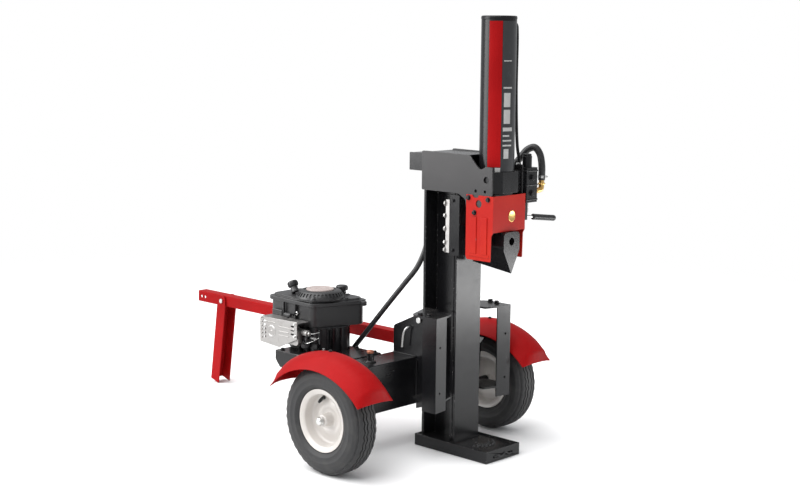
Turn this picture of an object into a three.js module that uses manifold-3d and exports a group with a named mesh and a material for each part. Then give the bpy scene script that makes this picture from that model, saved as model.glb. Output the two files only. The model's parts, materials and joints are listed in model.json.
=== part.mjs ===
import * as THREE from "three";
import { mergeVertices } from "three/addons/utils/BufferGeometryUtils.js";
import Module from "manifold-3d";

const wasm = await Module();
wasm.setup();

// Millimetres. +X is the side the wedge faces, +Y runs along the axle, +Z is up.
const WHEEL = { radius: 206, track: 457, width: 116, flange: 118, bore: 11, axle: 9.5 };
const BEAM = { y: 133, half: 72, back: -24, front: 150.5, bottom: 40.3, top: 1158, web: 5 };
const PIVOT = { x: -30, z: 501, bolt: 8, tube: 15 };
const FOOT = { back: -35, front: 339, half: 99.5, height: 46, floor: 40, wall: 7 };
const TANK = { back: -180, front: -45, half: 340, bottom: 160, top: 352 };
const TONGUE = { rear: -1513, front: -62, half: 25.4, mid: 393, wall: 4 };
const EAR = { inner: 78, thickness: 6 };
const BRACKET = { inner: 84.5, thickness: 6.5, back: -20, front: 337, bottom: 1021, top: 1172 };
const GUARD = { inner: 91.3, sheet: 3, back: 214, front: 347, bottom: 776, lip: 886, top: 1022 };
const CYL = { x: 281, radius: 66.5, bore: 57, bottom: 1024, top: 1688, crown: 20 };
const ROD = { radius: 25.4, foot: 886 };
const WEDGE = { half: 46, nose: 362, tip: 726, heel: 751, shoulder: 815, top: 884 };
const CARRIAGE = { half: 85, bottom: 779, top: 1012, face: 172 };
const FENDER = { inner: 370, outer: 548, edge: 328, crown: 382, centre: 75, span: 46, sheet: 3 };
const PLATFORM = { back: -515, front: -181, near: -280, far: -12, top: 355.3, bottom: 312 };
const JACK = { x: -1330, half: 34, sheet: 4, length: 385.5, lean: 8 };
const CRADLE = { inner: 150, outer: 220, bottom: 188, top: 549, front: 174, turned: 11 };
const ENGINE = { x: -432, y: -112, deck: 355.6, shroud: 452, seam: 541, top: 560 };
const MUFFLER = { x0: -604, x1: -398, y0: -262, y1: -214, z0: 384, z1: 446 };
const VALVE = { x: 318, y: 262, bottom: 985, top: 1118, lever: 932, arm: 22 };
const ELBOW_REACH = 98;
const LOCK = { x: -79, z: 468, hole: 6, radius: 4 };
const GAP = 0.3;

const PAINT = {
  black: { color: 0x1b1c1e, roughness: 0.42, metalness: 0.2 },
  grey: { color: 0x6d696c, roughness: 0.45, metalness: 0.3 },
  red: { color: 0xc4161c, roughness: 0.35, metalness: 0.1 },
  steel: { color: 0xb9b9bb, roughness: 0.3, metalness: 0.9 },
  silver: { color: 0xd9d9d6, roughness: 0.35, metalness: 0.8 },
  white: { color: 0xe9e4dc, roughness: 0.4, metalness: 0.1 },
  rubber: { color: 0x222428, roughness: 0.85, metalness: 0.0 },
  plastic: { color: 0x232426, roughness: 0.55, metalness: 0.0 },
  brass: { color: 0xb08a3e, roughness: 0.35, metalness: 0.9 },
  copper: { color: 0xb7654a, roughness: 0.4, metalness: 0.6 },
};

// ---- small shape helpers -------------------------------------------------

function mesh(name, geometry, paint, at = [0, 0, 0]) {
  const material = new THREE.MeshStandardMaterial({ ...PAINT[paint], name: `${name}_${paint}` });
  const piece = new THREE.Mesh(geometry, material);
  piece.name = name;
  piece.position.set(...at);
  return piece;
}

function solid(geometry) {
  const bare = geometry.clone();
  bare.deleteAttribute("normal");
  bare.deleteAttribute("uv");
  const joined = mergeVertices(bare.index ? bare.toNonIndexed() : bare, 1e-3);
  return new wasm.Manifold(
    new wasm.Mesh({
      numProp: 3,
      vertProperties: new Float32Array(joined.attributes.position.array),
      triVerts: new Uint32Array(joined.index.array),
    }),
  );
}

function geometryOf(manifold) {
  const out = manifold.getMesh();
  const geometry = new THREE.BufferGeometry();
  const places = new THREE.BufferAttribute(new Float32Array(out.vertProperties), 3);
  geometry.setAttribute("position", places);
  geometry.setIndex(new THREE.BufferAttribute(new Uint32Array(out.triVerts), 1));
  geometry.computeVertexNormals();
  return geometry;
}

function join(first, ...others) {
  return geometryOf(others.reduce((sum, part) => sum.add(solid(part)), solid(first)));
}

function cut(first, ...others) {
  return geometryOf(others.reduce((rest, part) => rest.subtract(solid(part)), solid(first)));
}

// A closed outline; a corner given as [u, v, r] is rounded with radius r.
function outline(corners, steps = 3) {
  const shape = new THREE.Shape();
  const count = corners.length;
  corners.forEach(([u, v, r = 0], i) => {
    const here = new THREE.Vector2(u, v);
    const towards = (k) => {
      const [a, b] = corners[(k + count) % count];
      return new THREE.Vector2(a, b).sub(here).normalize();
    };
    const before = towards(i - 1);
    const after = towards(i + 1);
    const half = Math.acos(THREE.MathUtils.clamp(before.dot(after), -1, 1)) / 2;
    const reach = r > 0 ? r / Math.tan(half) : 0;
    const start = here.clone().addScaledVector(before, reach);
    const end = here.clone().addScaledVector(after, reach);
    if (i === 0) shape.moveTo(start.x, start.y);
    else shape.lineTo(start.x, start.y);
    if (r <= 0) return;
    const middle = before.clone().add(after).normalize();
    const centre = here.clone().addScaledVector(middle, r / Math.sin(half));
    for (let k = 1; k <= steps; k += 1) {
      const a = start.clone().sub(centre);
      const b = end.clone().sub(centre);
      const turn = Math.atan2(a.cross(b), a.dot(b));
      const step = a.rotateAround(new THREE.Vector2(), (turn * k) / steps);
      shape.lineTo(centre.x + step.x, centre.y + step.y);
    }
  });
  shape.closePath();
  return shape;
}

// Outlines drawn in X-Z, Y-Z and X-Y, pushed along the third direction.
function alongY(shape, from, to) {
  const body = new THREE.ExtrudeGeometry(shape, { depth: to - from, bevelEnabled: false });
  return body.rotateX(Math.PI / 2).translate(0, to, 0);
}

function alongX(shape, from, to) {
  const body = new THREE.ExtrudeGeometry(shape, { depth: to - from, bevelEnabled: false });
  return body.rotateX(Math.PI / 2).rotateZ(Math.PI / 2).translate(from, 0, 0);
}

function alongZ(shape, from, to) {
  const body = new THREE.ExtrudeGeometry(shape, { depth: to - from, bevelEnabled: false });
  return body.translate(0, 0, from);
}

function block(x0, x1, y0, y1, z0, z1) {
  const body = new THREE.BoxGeometry(x1 - x0, y1 - y0, z1 - z0);
  return body.translate((x0 + x1) / 2, (y0 + y1) / 2, (z0 + z1) / 2);
}

// Round bars lying along an axis through the point given.
function barY(radius, x, z, y0, y1, sides = 14) {
  const body = new THREE.CylinderGeometry(radius, radius, y1 - y0, sides);
  return body.translate(x, (y0 + y1) / 2, z);
}

function barZ(radius, x, y, z0, z1, sides = 14) {
  const body = new THREE.CylinderGeometry(radius, radius, z1 - z0, sides);
  return body.rotateX(Math.PI / 2).translate(x, y, (z0 + z1) / 2);
}

function barX(radius, y, z, x0, x1, sides = 14) {
  const body = new THREE.CylinderGeometry(radius, radius, x1 - x0, sides);
  return body.rotateZ(Math.PI / 2).translate((x0 + x1) / 2, y, z);
}

// A body turned about an upright axis; the profile is [radius, height] pairs.
function turned(profile, x, y, sides = 20) {
  const points = profile.map(([r, h]) => new THREE.Vector2(r, h));
  return new THREE.LatheGeometry(points, sides).rotateX(Math.PI / 2).translate(x, y, 0);
}

function tube(points, radius, steps, sides = 10) {
  const route = new THREE.CatmullRomCurve3(points.map((p) => new THREE.Vector3(...p)), false, "centripetal");
  const face = new THREE.Shape();
  for (let k = 0; k < sides; k += 1) {
    const angle = (2 * Math.PI * k) / sides;
    const at = [radius * Math.cos(angle), radius * Math.sin(angle)];
    if (k === 0) face.moveTo(...at);
    else face.lineTo(...at);
  }
  face.closePath();
  return new THREE.ExtrudeGeometry(face, { steps, extrudePath: route, bevelEnabled: false });
}

// ---- running gear --------------------------------------------------------

function wheelParts(side, name) {
  const w = WHEEL;
  const half = w.width / 2;
  const tyreProfile = [
    [104, -37], [118.8, -43.5], [150, -half], [178, -half + 4], [197, -44], [w.radius, -20],
    [w.radius, 20], [197, 44], [178, half - 4], [150, half], [118.8, 43.5], [104, 37], [104, -37],
  ];
  const rimProfile = [
    [w.bore, -34], [21, -34], [21, -10], [88, -14], [94, -41], [w.flange, -48],
    [w.flange, -44.5], [103.5, -39], [103.5, 39], [w.flange, 44.5], [w.flange, 48], [97, 40],
    [92, 2], [21, 0], [21, 44], [w.bore, 44], [w.bore, -34],
  ];
  const turnedAboutAxle = (profile, sides) => {
    const points = profile.map(([r, y]) => new THREE.Vector2(r, side * y));
    const wanted = side < 0 ? points.reverse() : points;
    return new THREE.LatheGeometry(wanted, sides);
  };
  const group = new THREE.Group();
  group.name = `wheel_${name}`;
  group.position.set(0, side * w.track, w.radius);
  group.add(mesh(`tyre_${name}`, turnedAboutAxle(tyreProfile, 24), "rubber"));
  group.add(mesh(`rim_${name}`, turnedAboutAxle(rimProfile, 24), "white"));
  return group;
}

function axle(side, name) {
  const w = WHEEL;
  const plate = outline([
    [TANK.back, TANK.bottom], [26, w.radius - 32, 18], [26, w.radius + 32, 18],
    [TANK.front, 300], [TANK.back, 300],
  ]);
  const inner = side * (TANK.half + GAP);
  const face = side * (TANK.half + 9);
  const end = side * (w.track + 62);
  const sheet = alongY(plate, Math.min(inner, face), Math.max(inner, face));
  const shaft = barY(w.axle, 0, w.radius, Math.min(face, end), Math.max(face, end), 24);
  const shoulder = side * (w.track - 36);
  const spacer = barY(17, 0, w.radius, Math.min(face, shoulder), Math.max(face, shoulder), 24);
  const foot = TANK.half + GAP;
  const strap = alongX(outline([
    [foot, 240], [foot + 5, 240], [foot + 14, 370], [FENDER.inner + 16, 398],
    [FENDER.inner + 13, 403], [foot + 9, 375],
  ]), -30, 30);
  const carrier = side > 0 ? strap : strap.rotateZ(Math.PI);
  return mesh(`axle_${name}`, join(sheet, shaft, spacer, carrier), "black");
}

function axleNut(side, name) {
  const from = WHEEL.track + 46;
  const nut = new THREE.CylinderGeometry(16, 16, 9, 6).translate(0, from + 4.5, 0);
  const cap = new THREE.CylinderGeometry(12, 14, 10, 20).translate(0, from + 13.5, 0);
  const bore = new THREE.CylinderGeometry(10, 10, 17, 20).translate(0, from + 7.5, 0);
  const body = cut(join(nut, cap), bore);
  const turnedOut = side > 0 ? body : body.rotateZ(Math.PI);
  return mesh(`axle_nut_${name}`, turnedOut, "black", [0, 0, WHEEL.radius]);
}

// The fender is a crowned sheet: a flat slab wrapped over the wheel.
function fender(side, name) {
  const f = FENDER;
  const across = 6;
  const around = 16;
  const slab = new THREE.BoxGeometry(1, 1, 1, across, 1, around);
  const spots = slab.attributes.position;
  for (let i = 0; i < spots.count; i += 1) {
    const u = spots.getX(i) * 2;
    const turn = THREE.MathUtils.degToRad(spots.getZ(i) * 2 * f.span);
    const fade = 1 - Math.abs(spots.getZ(i) * 2) ** 10;
    const crown = (f.crown - f.edge) * (1 - Math.abs(u) ** 2.6) * (0.25 + 0.75 * fade);
    const reach = f.edge + crown + spots.getY(i) * f.sheet;
    const middle = (f.inner + f.outer) / 2;
    const y = side * (middle + (u * (f.outer - f.inner)) / 2);
    spots.setXYZ(i, reach * Math.sin(turn), y, f.centre + reach * Math.cos(turn));
  }
  if (side < 0) {
    const order = slab.index.array;
    for (let k = 0; k < order.length; k += 3) {
      [order[k + 1], order[k + 2]] = [order[k + 2], order[k + 1]];
    }
  }
  const sheet = solid(slab);
  return mesh(`fender_${name}`, geometryOf(sheet), "red");
}


// ---- frame, tongue and jack stand ----------------------------------------

function tank() {
  const t = TANK;
  const section = outline([
    [t.back, t.bottom, 8], [t.front, t.bottom, 8], [t.front, t.top, 5], [t.back, t.top, 5],
  ], 3);
  const underTongue = TONGUE.mid - TONGUE.half - GAP;
  const riser = block(t.back + 6, -66, BEAM.y - 24, BEAM.y + 24, t.top - 5, underTongue);
  return mesh("reservoir_tank", join(alongY(section, -t.half, t.half), riser), "black");
}

function fillerNeck() {
  const x = -104;
  const y = -150;
  const base = TANK.top + GAP;
  const neck = [[0, base], [21, base], [21, base + 6], [15, base + 8], [15, base + 36], [0, base + 36]];
  return mesh("filler_neck", turned(neck, x, y, 20), "black");
}

function fillerCap() {
  const base = TANK.top + 36 + 2 * GAP;
  const cap = [[0, base], [13, base], [13, base + 9], [10, base + 12], [0, base + 12]];
  return mesh("filler_breather", turned(cap, -104, -150, 20), "copper");
}

function ear(side, name) {
  const near = BEAM.y + side * EAR.inner;
  const far = near + side * EAR.thickness;
  const hook = outline([
    [TANK.front + GAP, 142], [8, 160, 12], [8, PIVOT.z - 40], [PIVOT.x + 25, PIVOT.z + 6, 6],
    [PIVOT.x, PIVOT.z + 27, 16], [PIVOT.x - 22, PIVOT.z + 17, 6], [-172, 462, 14],
    [-172, TANK.top + GAP], [TANK.front + GAP, TANK.top + GAP],
  ]);
  const plate = alongY(hook, Math.min(near, far), Math.max(near, far));
  const pivotHole = barY(PIVOT.bolt + 0.7, PIVOT.x, PIVOT.z, BEAM.y - 100, BEAM.y + 100, 16);
  const lockHole = barY(LOCK.hole, LOCK.x, LOCK.z, BEAM.y - 100, BEAM.y, 10);
  return mesh(`ear_plate_${name}`, cut(plate, pivotHole, lockHole), "black");
}

function pivotBolt() {
  const reach = EAR.inner + EAR.thickness;
  const y0 = BEAM.y - reach - GAP;
  const y1 = BEAM.y + reach + GAP;
  const shank = barY(PIVOT.bolt, PIVOT.x, PIVOT.z, y0 - 2, y1 + 2);
  const head = new THREE.CylinderGeometry(13, 13, 8, 6).translate(PIVOT.x, y0 - 4, PIVOT.z);
  const nut = new THREE.CylinderGeometry(13, 13, 11, 6).translate(PIVOT.x, y1 + 5.5, PIVOT.z);
  return mesh("pivot_bolt", join(shank, head, nut), "steel");
}

function tongue() {
  const t = TONGUE;
  const side = t.half;
  const section = outline([
    [BEAM.y - side, t.mid - side, 4], [BEAM.y + side, t.mid - side, 4],
    [BEAM.y + side, t.mid + side, 4], [BEAM.y - side, t.mid + side, 4],
  ], 2);
  const inside = side - t.wall;
  const bar = alongX(section, t.rear, t.front);
  const [y0, y1] = [BEAM.y - inside, BEAM.y + inside];
  const hollow = block(t.rear - 5, t.front + 5, y0, y1, t.mid - inside, t.mid + inside);
  const through = (x, radius) => barY(radius, x, t.mid, BEAM.y - 40, BEAM.y + 40, 12);
  const holes = [through(-1490, 6.5), through(-1464, 6.5), through(JACK.x, 7)];
  return mesh("tongue", cut(bar, hollow, ...holes), "red");
}

// A folded channel hung on the tongue by a cross bolt; its open side faces forward.
function jackStand() {
  const j = JACK;
  const web = -30.5;
  const lip = 26;
  const foot = -j.length / Math.cos(THREE.MathUtils.degToRad(j.lean));
  const slant = Math.tan(THREE.MathUtils.degToRad(j.lean));
  const flange = outline([
    [web, foot - web * slant], [lip, foot - lip * slant], [lip, -20], [20, 24, 18],
    [-20, 24, 18], [web, -20],
  ]);
  const near = alongY(flange, -j.half, -j.half + j.sheet);
  const far = alongY(flange, j.half - j.sheet, j.half);
  const back = block(web, web + j.sheet, -j.half, j.half, foot - web * slant - 0.5, -40);
  const bolt = barY(7.2, 0, 0, -60, 60, 12);
  const stand = cut(join(near, far, back), bolt);
  const piece = mesh("jack_stand", stand, "red", [j.x, BEAM.y, TONGUE.mid]);
  piece.rotation.y = THREE.MathUtils.degToRad(j.lean);
  return piece;
}

function jackBolt() {
  const reach = JACK.half + GAP;
  const shank = barY(6, 0, 0, -reach - 2, reach + 2, 16);
  const head = new THREE.CylinderGeometry(11, 11, 7, 6).translate(0, -reach - 3.5, 0);
  const nut = new THREE.CylinderGeometry(11, 11, 9, 6).translate(0, reach + 4.5, 0);
  return mesh("jack_bolt", join(shank, head, nut), "steel", [JACK.x, BEAM.y, TONGUE.mid]);
}

function enginePlatform() {
  const p = PLATFORM;
  const side = outline([
    [p.back, p.top], [p.back, p.bottom + 6], [p.back + 26, p.bottom - 24],
    [p.front, p.bottom - 24], [p.front, p.top],
  ]);
  const inner = outline([
    [p.back + 5, p.top - 5], [p.back + 5, p.bottom + 4], [p.back + 34, p.bottom - 34],
    [p.front + 9, p.bottom - 34], [p.front + 9, p.top - 5],
  ]);
  const tray = alongY(side, p.near, p.far);
  const hollow = alongY(inner, p.near + 5, p.far - 5);
  const shaftHole = barZ(30, ENGINE.x, ENGINE.y, p.top - 20, p.top + 20, 20);
  return mesh("engine_platform", cut(tray, hollow, shaftHole), "black");
}

// ---- engine and pump -----------------------------------------------------

function crankcase() {
  const e = ENGINE;
  const plan = outline([
    [e.x - 108, -196, 26], [e.x + 60, -200, 20], [e.x + 96, -150, 20],
    [e.x + 96, -30, 30], [e.x - 108, -30, 30],
  ]);
  const casting = alongZ(plan, e.deck, e.shroud - GAP);
  const drum = barZ(54, -366, -86, e.deck, e.shroud - GAP, 24);
  const well = barZ(27, e.x, e.y, e.deck - 5, e.deck + 30, 20);
  return mesh("crankcase", cut(join(casting, drum), well), "black");
}

function shroud() {
  const e = ENGINE;
  const plan = (inset) => outline([
    [-660 + inset, -198 + inset, 30], [-370 - inset, -212 + inset, 34],
    [-282 - inset, 34 - inset, 34], [-580, 40 - inset, 40], [-660 + inset, -40, 40],
  ]);
  const skirt = alongZ(plan(8), e.shroud, e.seam);
  const lid = alongZ(plan(0), e.seam - 6, e.seam + 10);
  const step = alongZ(plan(14), e.seam + 10, e.top);
  return mesh("engine_shroud", join(skirt, lid, step), "plastic");
}

function recoilHousing() {
  const e = ENGINE;
  const base = e.top + GAP;
  const dome = [[0, base], [104, base], [100, base + 14], [82, base + 30], [70, base + 33], [0, base + 33]];
  return mesh("recoil_housing", turned(dome, e.x, e.y, 24), "plastic");
}

function recoilDisc() {
  const base = ENGINE.top + 33 + 2 * GAP;
  const disc = [[0, base], [64, base], [64, base + 4], [58, base + 7], [0, base + 8]];
  return mesh("recoil_disc", turned(disc, ENGINE.x, ENGINE.y, 24), "copper");
}

function fuelCap() {
  const base = ENGINE.top + GAP;
  const cap = [[0, base], [19, base], [19, base + 12], [25, base + 13], [25, base + 30], [21, base + 33], [0, base + 33]];
  return mesh("fuel_cap", turned(cap, -440, 17, 20), "plastic");
}

function oilFill() {
  const base = ENGINE.top + GAP;
  const neck = turned([[0, 0], [14, 0], [12, 26], [0, 26]], 0, 0, 16);
  const knob = turned([[0, 24], [20, 24], [22, 28], [22, 44], [18, 48], [0, 48]], 0, 0, 20);
  const body = join(neck, knob).rotateY(-0.5).translate(-556, -134, base + 7);
  const floor = block(-620, -480, -200, -60, base - 60, base);
  return mesh("oil_fill_cap", cut(body, floor), "plastic");
}

function starterGrip() {
  const bar = barX(8, 0, 0, -17, 17, 12);
  const nub = barZ(6, 0, 0, -14, 0, 12);
  return mesh("starter_grip", join(bar, nub), "plastic", [-470, -252, 500]);
}

function muffler() {
  const m = MUFFLER;
  const plan = outline([[m.x0, m.z0, 14], [m.x1, m.z0, 14], [m.x1, m.z1, 14], [m.x0, m.z1, 14]], 3);
  const box = alongY(plan, m.y0, m.y1);
  const pipe = barY(17, m.x1 - 40, 415, m.y1 - 2, -196 - GAP * 3, 16);
  const clear = block(-560, -300, -199.7, -100, 300, 500);
  return mesh("muffler", cut(join(box, pipe), clear), "steel");
}

// The heat guard is a folded, slotted plate standing off the muffler.
function mufflerGuard() {
  const m = MUFFLER;
  const face = outline([
    [m.x0 - 12, 374], [m.x0 + 104, 366], [m.x1 + 6, 414], [m.x1 + 6, 484], [m.x0 - 12, 478],
  ]);
  const front = alongY(face, m.y0 - 12, m.y0 - 9);
  const top = block(m.x0 - 12, m.x1 + 6, m.y0 - 12, m.y1 + 4, 475, 478);
  const slots = [];
  for (let row = 0; row < 5; row += 1) {
    const z = 395 + row * 16;
    slots.push(block(m.x0 + 8, m.x0 + 26, m.y0 - 20, m.y0 - 4, z, z + 7));
    if (row > 1) slots.push(block(m.x1 - 30, m.x1 - 12, m.y0 - 20, m.y0 - 4, z, z + 7));
  }
  return mesh("muffler_guard", cut(join(front, top), ...slots), "silver");
}

function airCleaner() {
  const box = outline([[-646, -22, 8], [-567, -22, 8], [-567, 30, 8], [-646, 30, 8]], 3);
  return mesh("air_cleaner", alongZ(box, 380, 446), "plastic");
}

function pump() {
  const e = ENGINE;
  const top = PLATFORM.top - 5.3 - GAP;
  const flange = barZ(46, e.x, e.y, top - 10, top, 24);
  const plan = outline([
    [e.x - 34, e.y - 44, 12], [e.x + 34, e.y - 44, 12], [e.x + 34, e.y + 44, 12], [e.x - 34, e.y + 44, 12],
  ], 3);
  const body = alongZ(plan, 238, top - 8);
  const port = barY(15, e.x + 6, 268, e.y + 40, e.y + 56, 16);
  return mesh("hydraulic_pump", join(flange, body, port), "grey");
}

function driveCoupling() {
  const z0 = PLATFORM.top - 5;
  return mesh("drive_coupling", barZ(20, ENGINE.x, ENGINE.y, z0 + GAP, z0 + 30, 20), "steel");
}

// ---- beam and what it carries --------------------------------------------

function beam() {
  const b = BEAM;
  const flange = 12;
  const plate = 10;
  const neck = b.front - plate - 3;
  const right = [
    [b.back, b.half], [b.back + flange, b.half], [b.back + flange, b.web],
    [neck - flange, b.web], [neck - flange, b.half], [neck, b.half], [neck, b.half - 9],
    [neck + 3, b.half - 9], [neck + 3, b.half], [b.front, b.half],
  ];
  const left = right.map(([x, y]) => [x, -y]).reverse();
  const section = outline([...left, ...right].map(([x, y]) => [x, b.y + y]));
  const bar = alongZ(section, b.bottom, b.top);
  const hub = barY(PIVOT.tube, PIVOT.x, PIVOT.z, b.y - b.half, b.y + b.half, 24);
  const gusset = block(PIVOT.x, b.back + 4, b.y - b.half, b.y + b.half, PIVOT.z - 9, PIVOT.z + 9);
  const bore = barY(PIVOT.bolt + 0.6, PIVOT.x, PIVOT.z, b.y - 100, b.y + 100, 20);
  const lug = block(LOCK.x - 13, b.back + 4, b.y - b.half, b.y - b.half + 6, LOCK.z - 13, LOCK.z + 13);
  const eye = barY(LOCK.hole, LOCK.x, LOCK.z, b.y - 100, b.y, 12);
  return mesh("beam", cut(join(bar, hub, gusset, lug), bore, eye), "black");
}

function footPlate() {
  const f = FOOT;
  const y0 = BEAM.y - f.half;
  const y1 = BEAM.y + f.half;
  const outer = block(f.back, f.front, y0, y1, 0, f.height);
  const tray = block(f.back + f.wall, f.front - f.wall, y0 + f.wall, y1 - f.wall, f.floor, 60);
  const slot = (y) => block(f.front - 14, f.front + 5, y - 15, y + 15, 14, 23);
  const body = cut(outer, tray, slot(BEAM.y - 42), slot(BEAM.y + 42));
  return mesh("foot_plate", body, "black");
}

function bracketPlate(side, name) {
  const b = BRACKET;
  const near = BEAM.y + side * b.inner;
  const far = near + side * b.thickness;
  const shape = outline([
    [b.back, b.bottom, 6], [168, b.bottom], [205, 1002, 16], [216, 942, 4], [330, 942, 4],
    [b.front, 960, 4], [b.front, 1130, 3], [304, 1130, 10], [279, 1117, 12], [262, 1130, 8],
    [224, b.top - 2, 6], [b.back, b.top, 6],
  ]);
  const plate = alongY(shape, Math.min(near, far), Math.max(near, far));
  const drilled = (x, z, radius) => barY(radius, x, z, BEAM.y - 120, BEAM.y + 120, 10);
  const holes = [drilled(308, 1081, 13), drilled(257, 1037, 6), drilled(303, 1037, 6)];
  return mesh(`bracket_plate_${name}`, cut(plate, ...holes), "grey");
}

function bracketTop() {
  const half = BRACKET.inner - GAP;
  const body = block(-18, 196, BEAM.y - half, BEAM.y + half, BEAM.top + GAP, BEAM.top + 9);
  return mesh("bracket_top_plate", body, "black");
}

// The rest that lands on the tongue when the beam is laid down for towing.
function saddle() {
  const seat = PIVOT.x - (PIVOT.z - TONGUE.mid - TONGUE.half) + GAP * 2;
  const y0 = BEAM.y - 50;
  const y1 = BEAM.y + 50;
  const outer = block(seat - 14, BEAM.back - GAP, y0, y1, 1088, 1158);
  const slot = block(seat - 30, seat, y0 + 8, y1 - 8, 1080, 1170);
  const under = block(seat + 8, BEAM.back + 5, y0 + 8, y1 - 8, 1080, 1150);
  return mesh("transport_rest", cut(outer, slot, under), "grey");
}

function cylinderBarrel() {
  const c = CYL;
  const wall = [
    [c.bore, c.bottom], [c.radius, c.bottom], [c.radius, c.top - 14],
    [c.bore, c.top - 14], [c.bore, c.bottom],
  ];
  const barrel = turned(wall, c.x, BEAM.y, 24);
  return mesh("cylinder_barrel", barrel, "red");
}

function cylinderCap() {
  const c = CYL;
  const rim = c.radius + 1;
  const cap = [[0, c.top - 13.7], [rim, c.top - 13.7], [rim, c.top - 4], [rim - 4, c.top], [0, c.top]];
  return mesh("cylinder_cap", turned(cap, c.x, BEAM.y, 24), "black");
}

function cylinderGland() {
  const c = CYL;
  const bore = ROD.radius + 0.5;
  const ringed = [
    [bore, c.bottom - 48], [60, c.bottom - 48], [60, c.bottom - GAP], [c.bore - GAP, c.bottom - GAP],
    [c.bore - GAP, c.bottom + 20], [bore, c.bottom + 20], [bore, c.bottom - 48],
  ];
  return mesh("cylinder_gland", turned(ringed, c.x, BEAM.y, 24), "steel");
}

// A clamp block round the foot of the barrel, held between the bracket plates.
function cylinderCollar() {
  const c = CYL;
  const half = BRACKET.inner - GAP;
  const plan = outline([
    [212, BEAM.y - half], [330, BEAM.y - half], [c.x + 69, BEAM.y - 44, 14],
    [c.x + 69, BEAM.y + 44, 14], [330, BEAM.y + half], [212, BEAM.y + half],
  ], 4);
  const bore = barZ(c.radius + 1.2, c.x, BEAM.y, 1000, 1200, 24);
  return mesh("cylinder_collar", cut(alongZ(plan, 1030, 1110), bore), "black");
}

function valveBody() {
  const v = VALVE;
  const casting = block(v.x - 32, v.x + 30, v.y - 30, v.y + 34, v.bottom, v.top);
  const saddlePad = block(v.x - 22, v.x + 18, BEAM.y + 91.5, v.y - 26, 1036, 1100);
  const boss = barY(17, v.x, 1024, v.y + 30, v.y + 48, 16);
  const turret = barZ(18, v.x + 6, v.y, v.top - 4, v.top + 42, 20);
  const gallery = barX(22, v.y + 6, 1066, v.x - 52, v.x - 20, 18);
  const jaw = block(v.x + 14.5, v.x + 19, v.y - 34, v.y - 8, 918, v.bottom + 4);
  const bore = barZ(9, v.x + 6, v.y, 900, 1100, 16);
  return mesh("control_valve", cut(join(casting, saddlePad, boss, turret, gallery, jaw), bore), "black");
}

function spool() {
  const v = VALVE;
  return mesh("valve_spool", barZ(8, v.x + 6, v.y, v.lever + 12, 1086, 16), "steel");
}

function leverRod() {
  const v = VALVE;
  const shaft = tube([[0, 0, 0], [0, 30, -3.6], [0, 60, -7.2]], 5.5, 4, 10);
  const eye = barX(9, 0, 0, -7, 7, 14);
  return mesh("lever_rod", join(shaft, eye), "steel", [v.x + 6, v.y - v.arm, v.lever]);
}

function leverGrip() {
  const profile = [[0, 60.5], [10, 60.5], [12, 66], [11, 120], [12, 190], [9, 199], [0, 202]];
  const points = profile.map(([r, h]) => new THREE.Vector2(r, h));
  const grip = new THREE.LatheGeometry(points, 16).rotateX(-0.12);
  return mesh("lever_grip", grip, "plastic", [VALVE.x + 6, VALVE.y - VALVE.arm, VALVE.lever]);
}

function elbow() {
  const v = VALVE;
  const y = v.y + 48 + GAP;
  const turn = v.y + ELBOW_REACH;
  const hex = barY(15, v.x, 1024, y, y + 14, 6);
  const side = barY(11, v.x, 1024, y + 12, turn + 8);
  const rise = barZ(11, v.x, turn, 1014, 1062);
  return mesh("brass_elbow", join(hex, side, rise), "brass");
}

function returnHose() {
  const y = VALVE.y + ELBOW_REACH;
  const route = [
    [VALVE.x, y, 1062.3], [VALVE.x, y, 1118], [304, y + 2, 1165], [284, y - 5, 1187],
    [260, y - 17, 1178], [236, y - 28, 1148], [212, y - 38, 1112], [180, y - 52, 1050],
    [120, 292, 960], [40, 274, 860], [-24, 258, 760], [-52, 250, 640], [-66, 252, 540],
    [-86, 258, 460], [-108, 262, 410], [-108, 262, 379.8],
  ];
  return mesh("return_hose", tube(route, 14, 32, 8), "rubber");
}

function returnFitting() {
  const base = TANK.top + GAP;
  const post = [[0, base], [18, base], [18, base + 10], [12, base + 10], [12, 379.5], [0, 379.5]];
  return mesh("return_fitting", turned(post, -108, 262, 18), "brass");
}

function pressureHose() {
  const e = ENGINE;
  const route = [
    [e.x + 6, e.y + 56.4, 268], [e.x + 6, e.y + 84, 268], [-408, 6, 284], [-352, 6, 350],
    [-284, 16, 430], [-200, 34, 535], [-116, 53, 638], [-64, 66, 704], [-44, 84, 762],
    [-40, 110, 830], [-42, 156, 890], [-44, 206, 930], [-16, 240, 960], [60, 250, 985],
    [150, 256, 1012], [215, 264, 1044], [246, 268, 1066], [265.6, 268, 1066],
  ];
  return mesh("pressure_hose", tube(route, 10.5, 34, 8), "rubber");
}

function hydraulicTube() {
  const c = CYL;
  const y = BEAM.y + c.radius;
  const route = [
    [c.x, y + 2, 1664], [c.x, y + 22, 1664], [c.x, y + 36, 1654], [c.x, y + 40, 1630],
    [c.x + 1, y + 40, 1400], [c.x + 6, y + 46, 1200], [c.x + 10, y + 52, 1150],
    [c.x + 10, y + 52, VALVE.top + GAP],
  ];
  return mesh("hydraulic_tube", tube(route, 6.5, 20, 8), "black");
}

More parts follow.
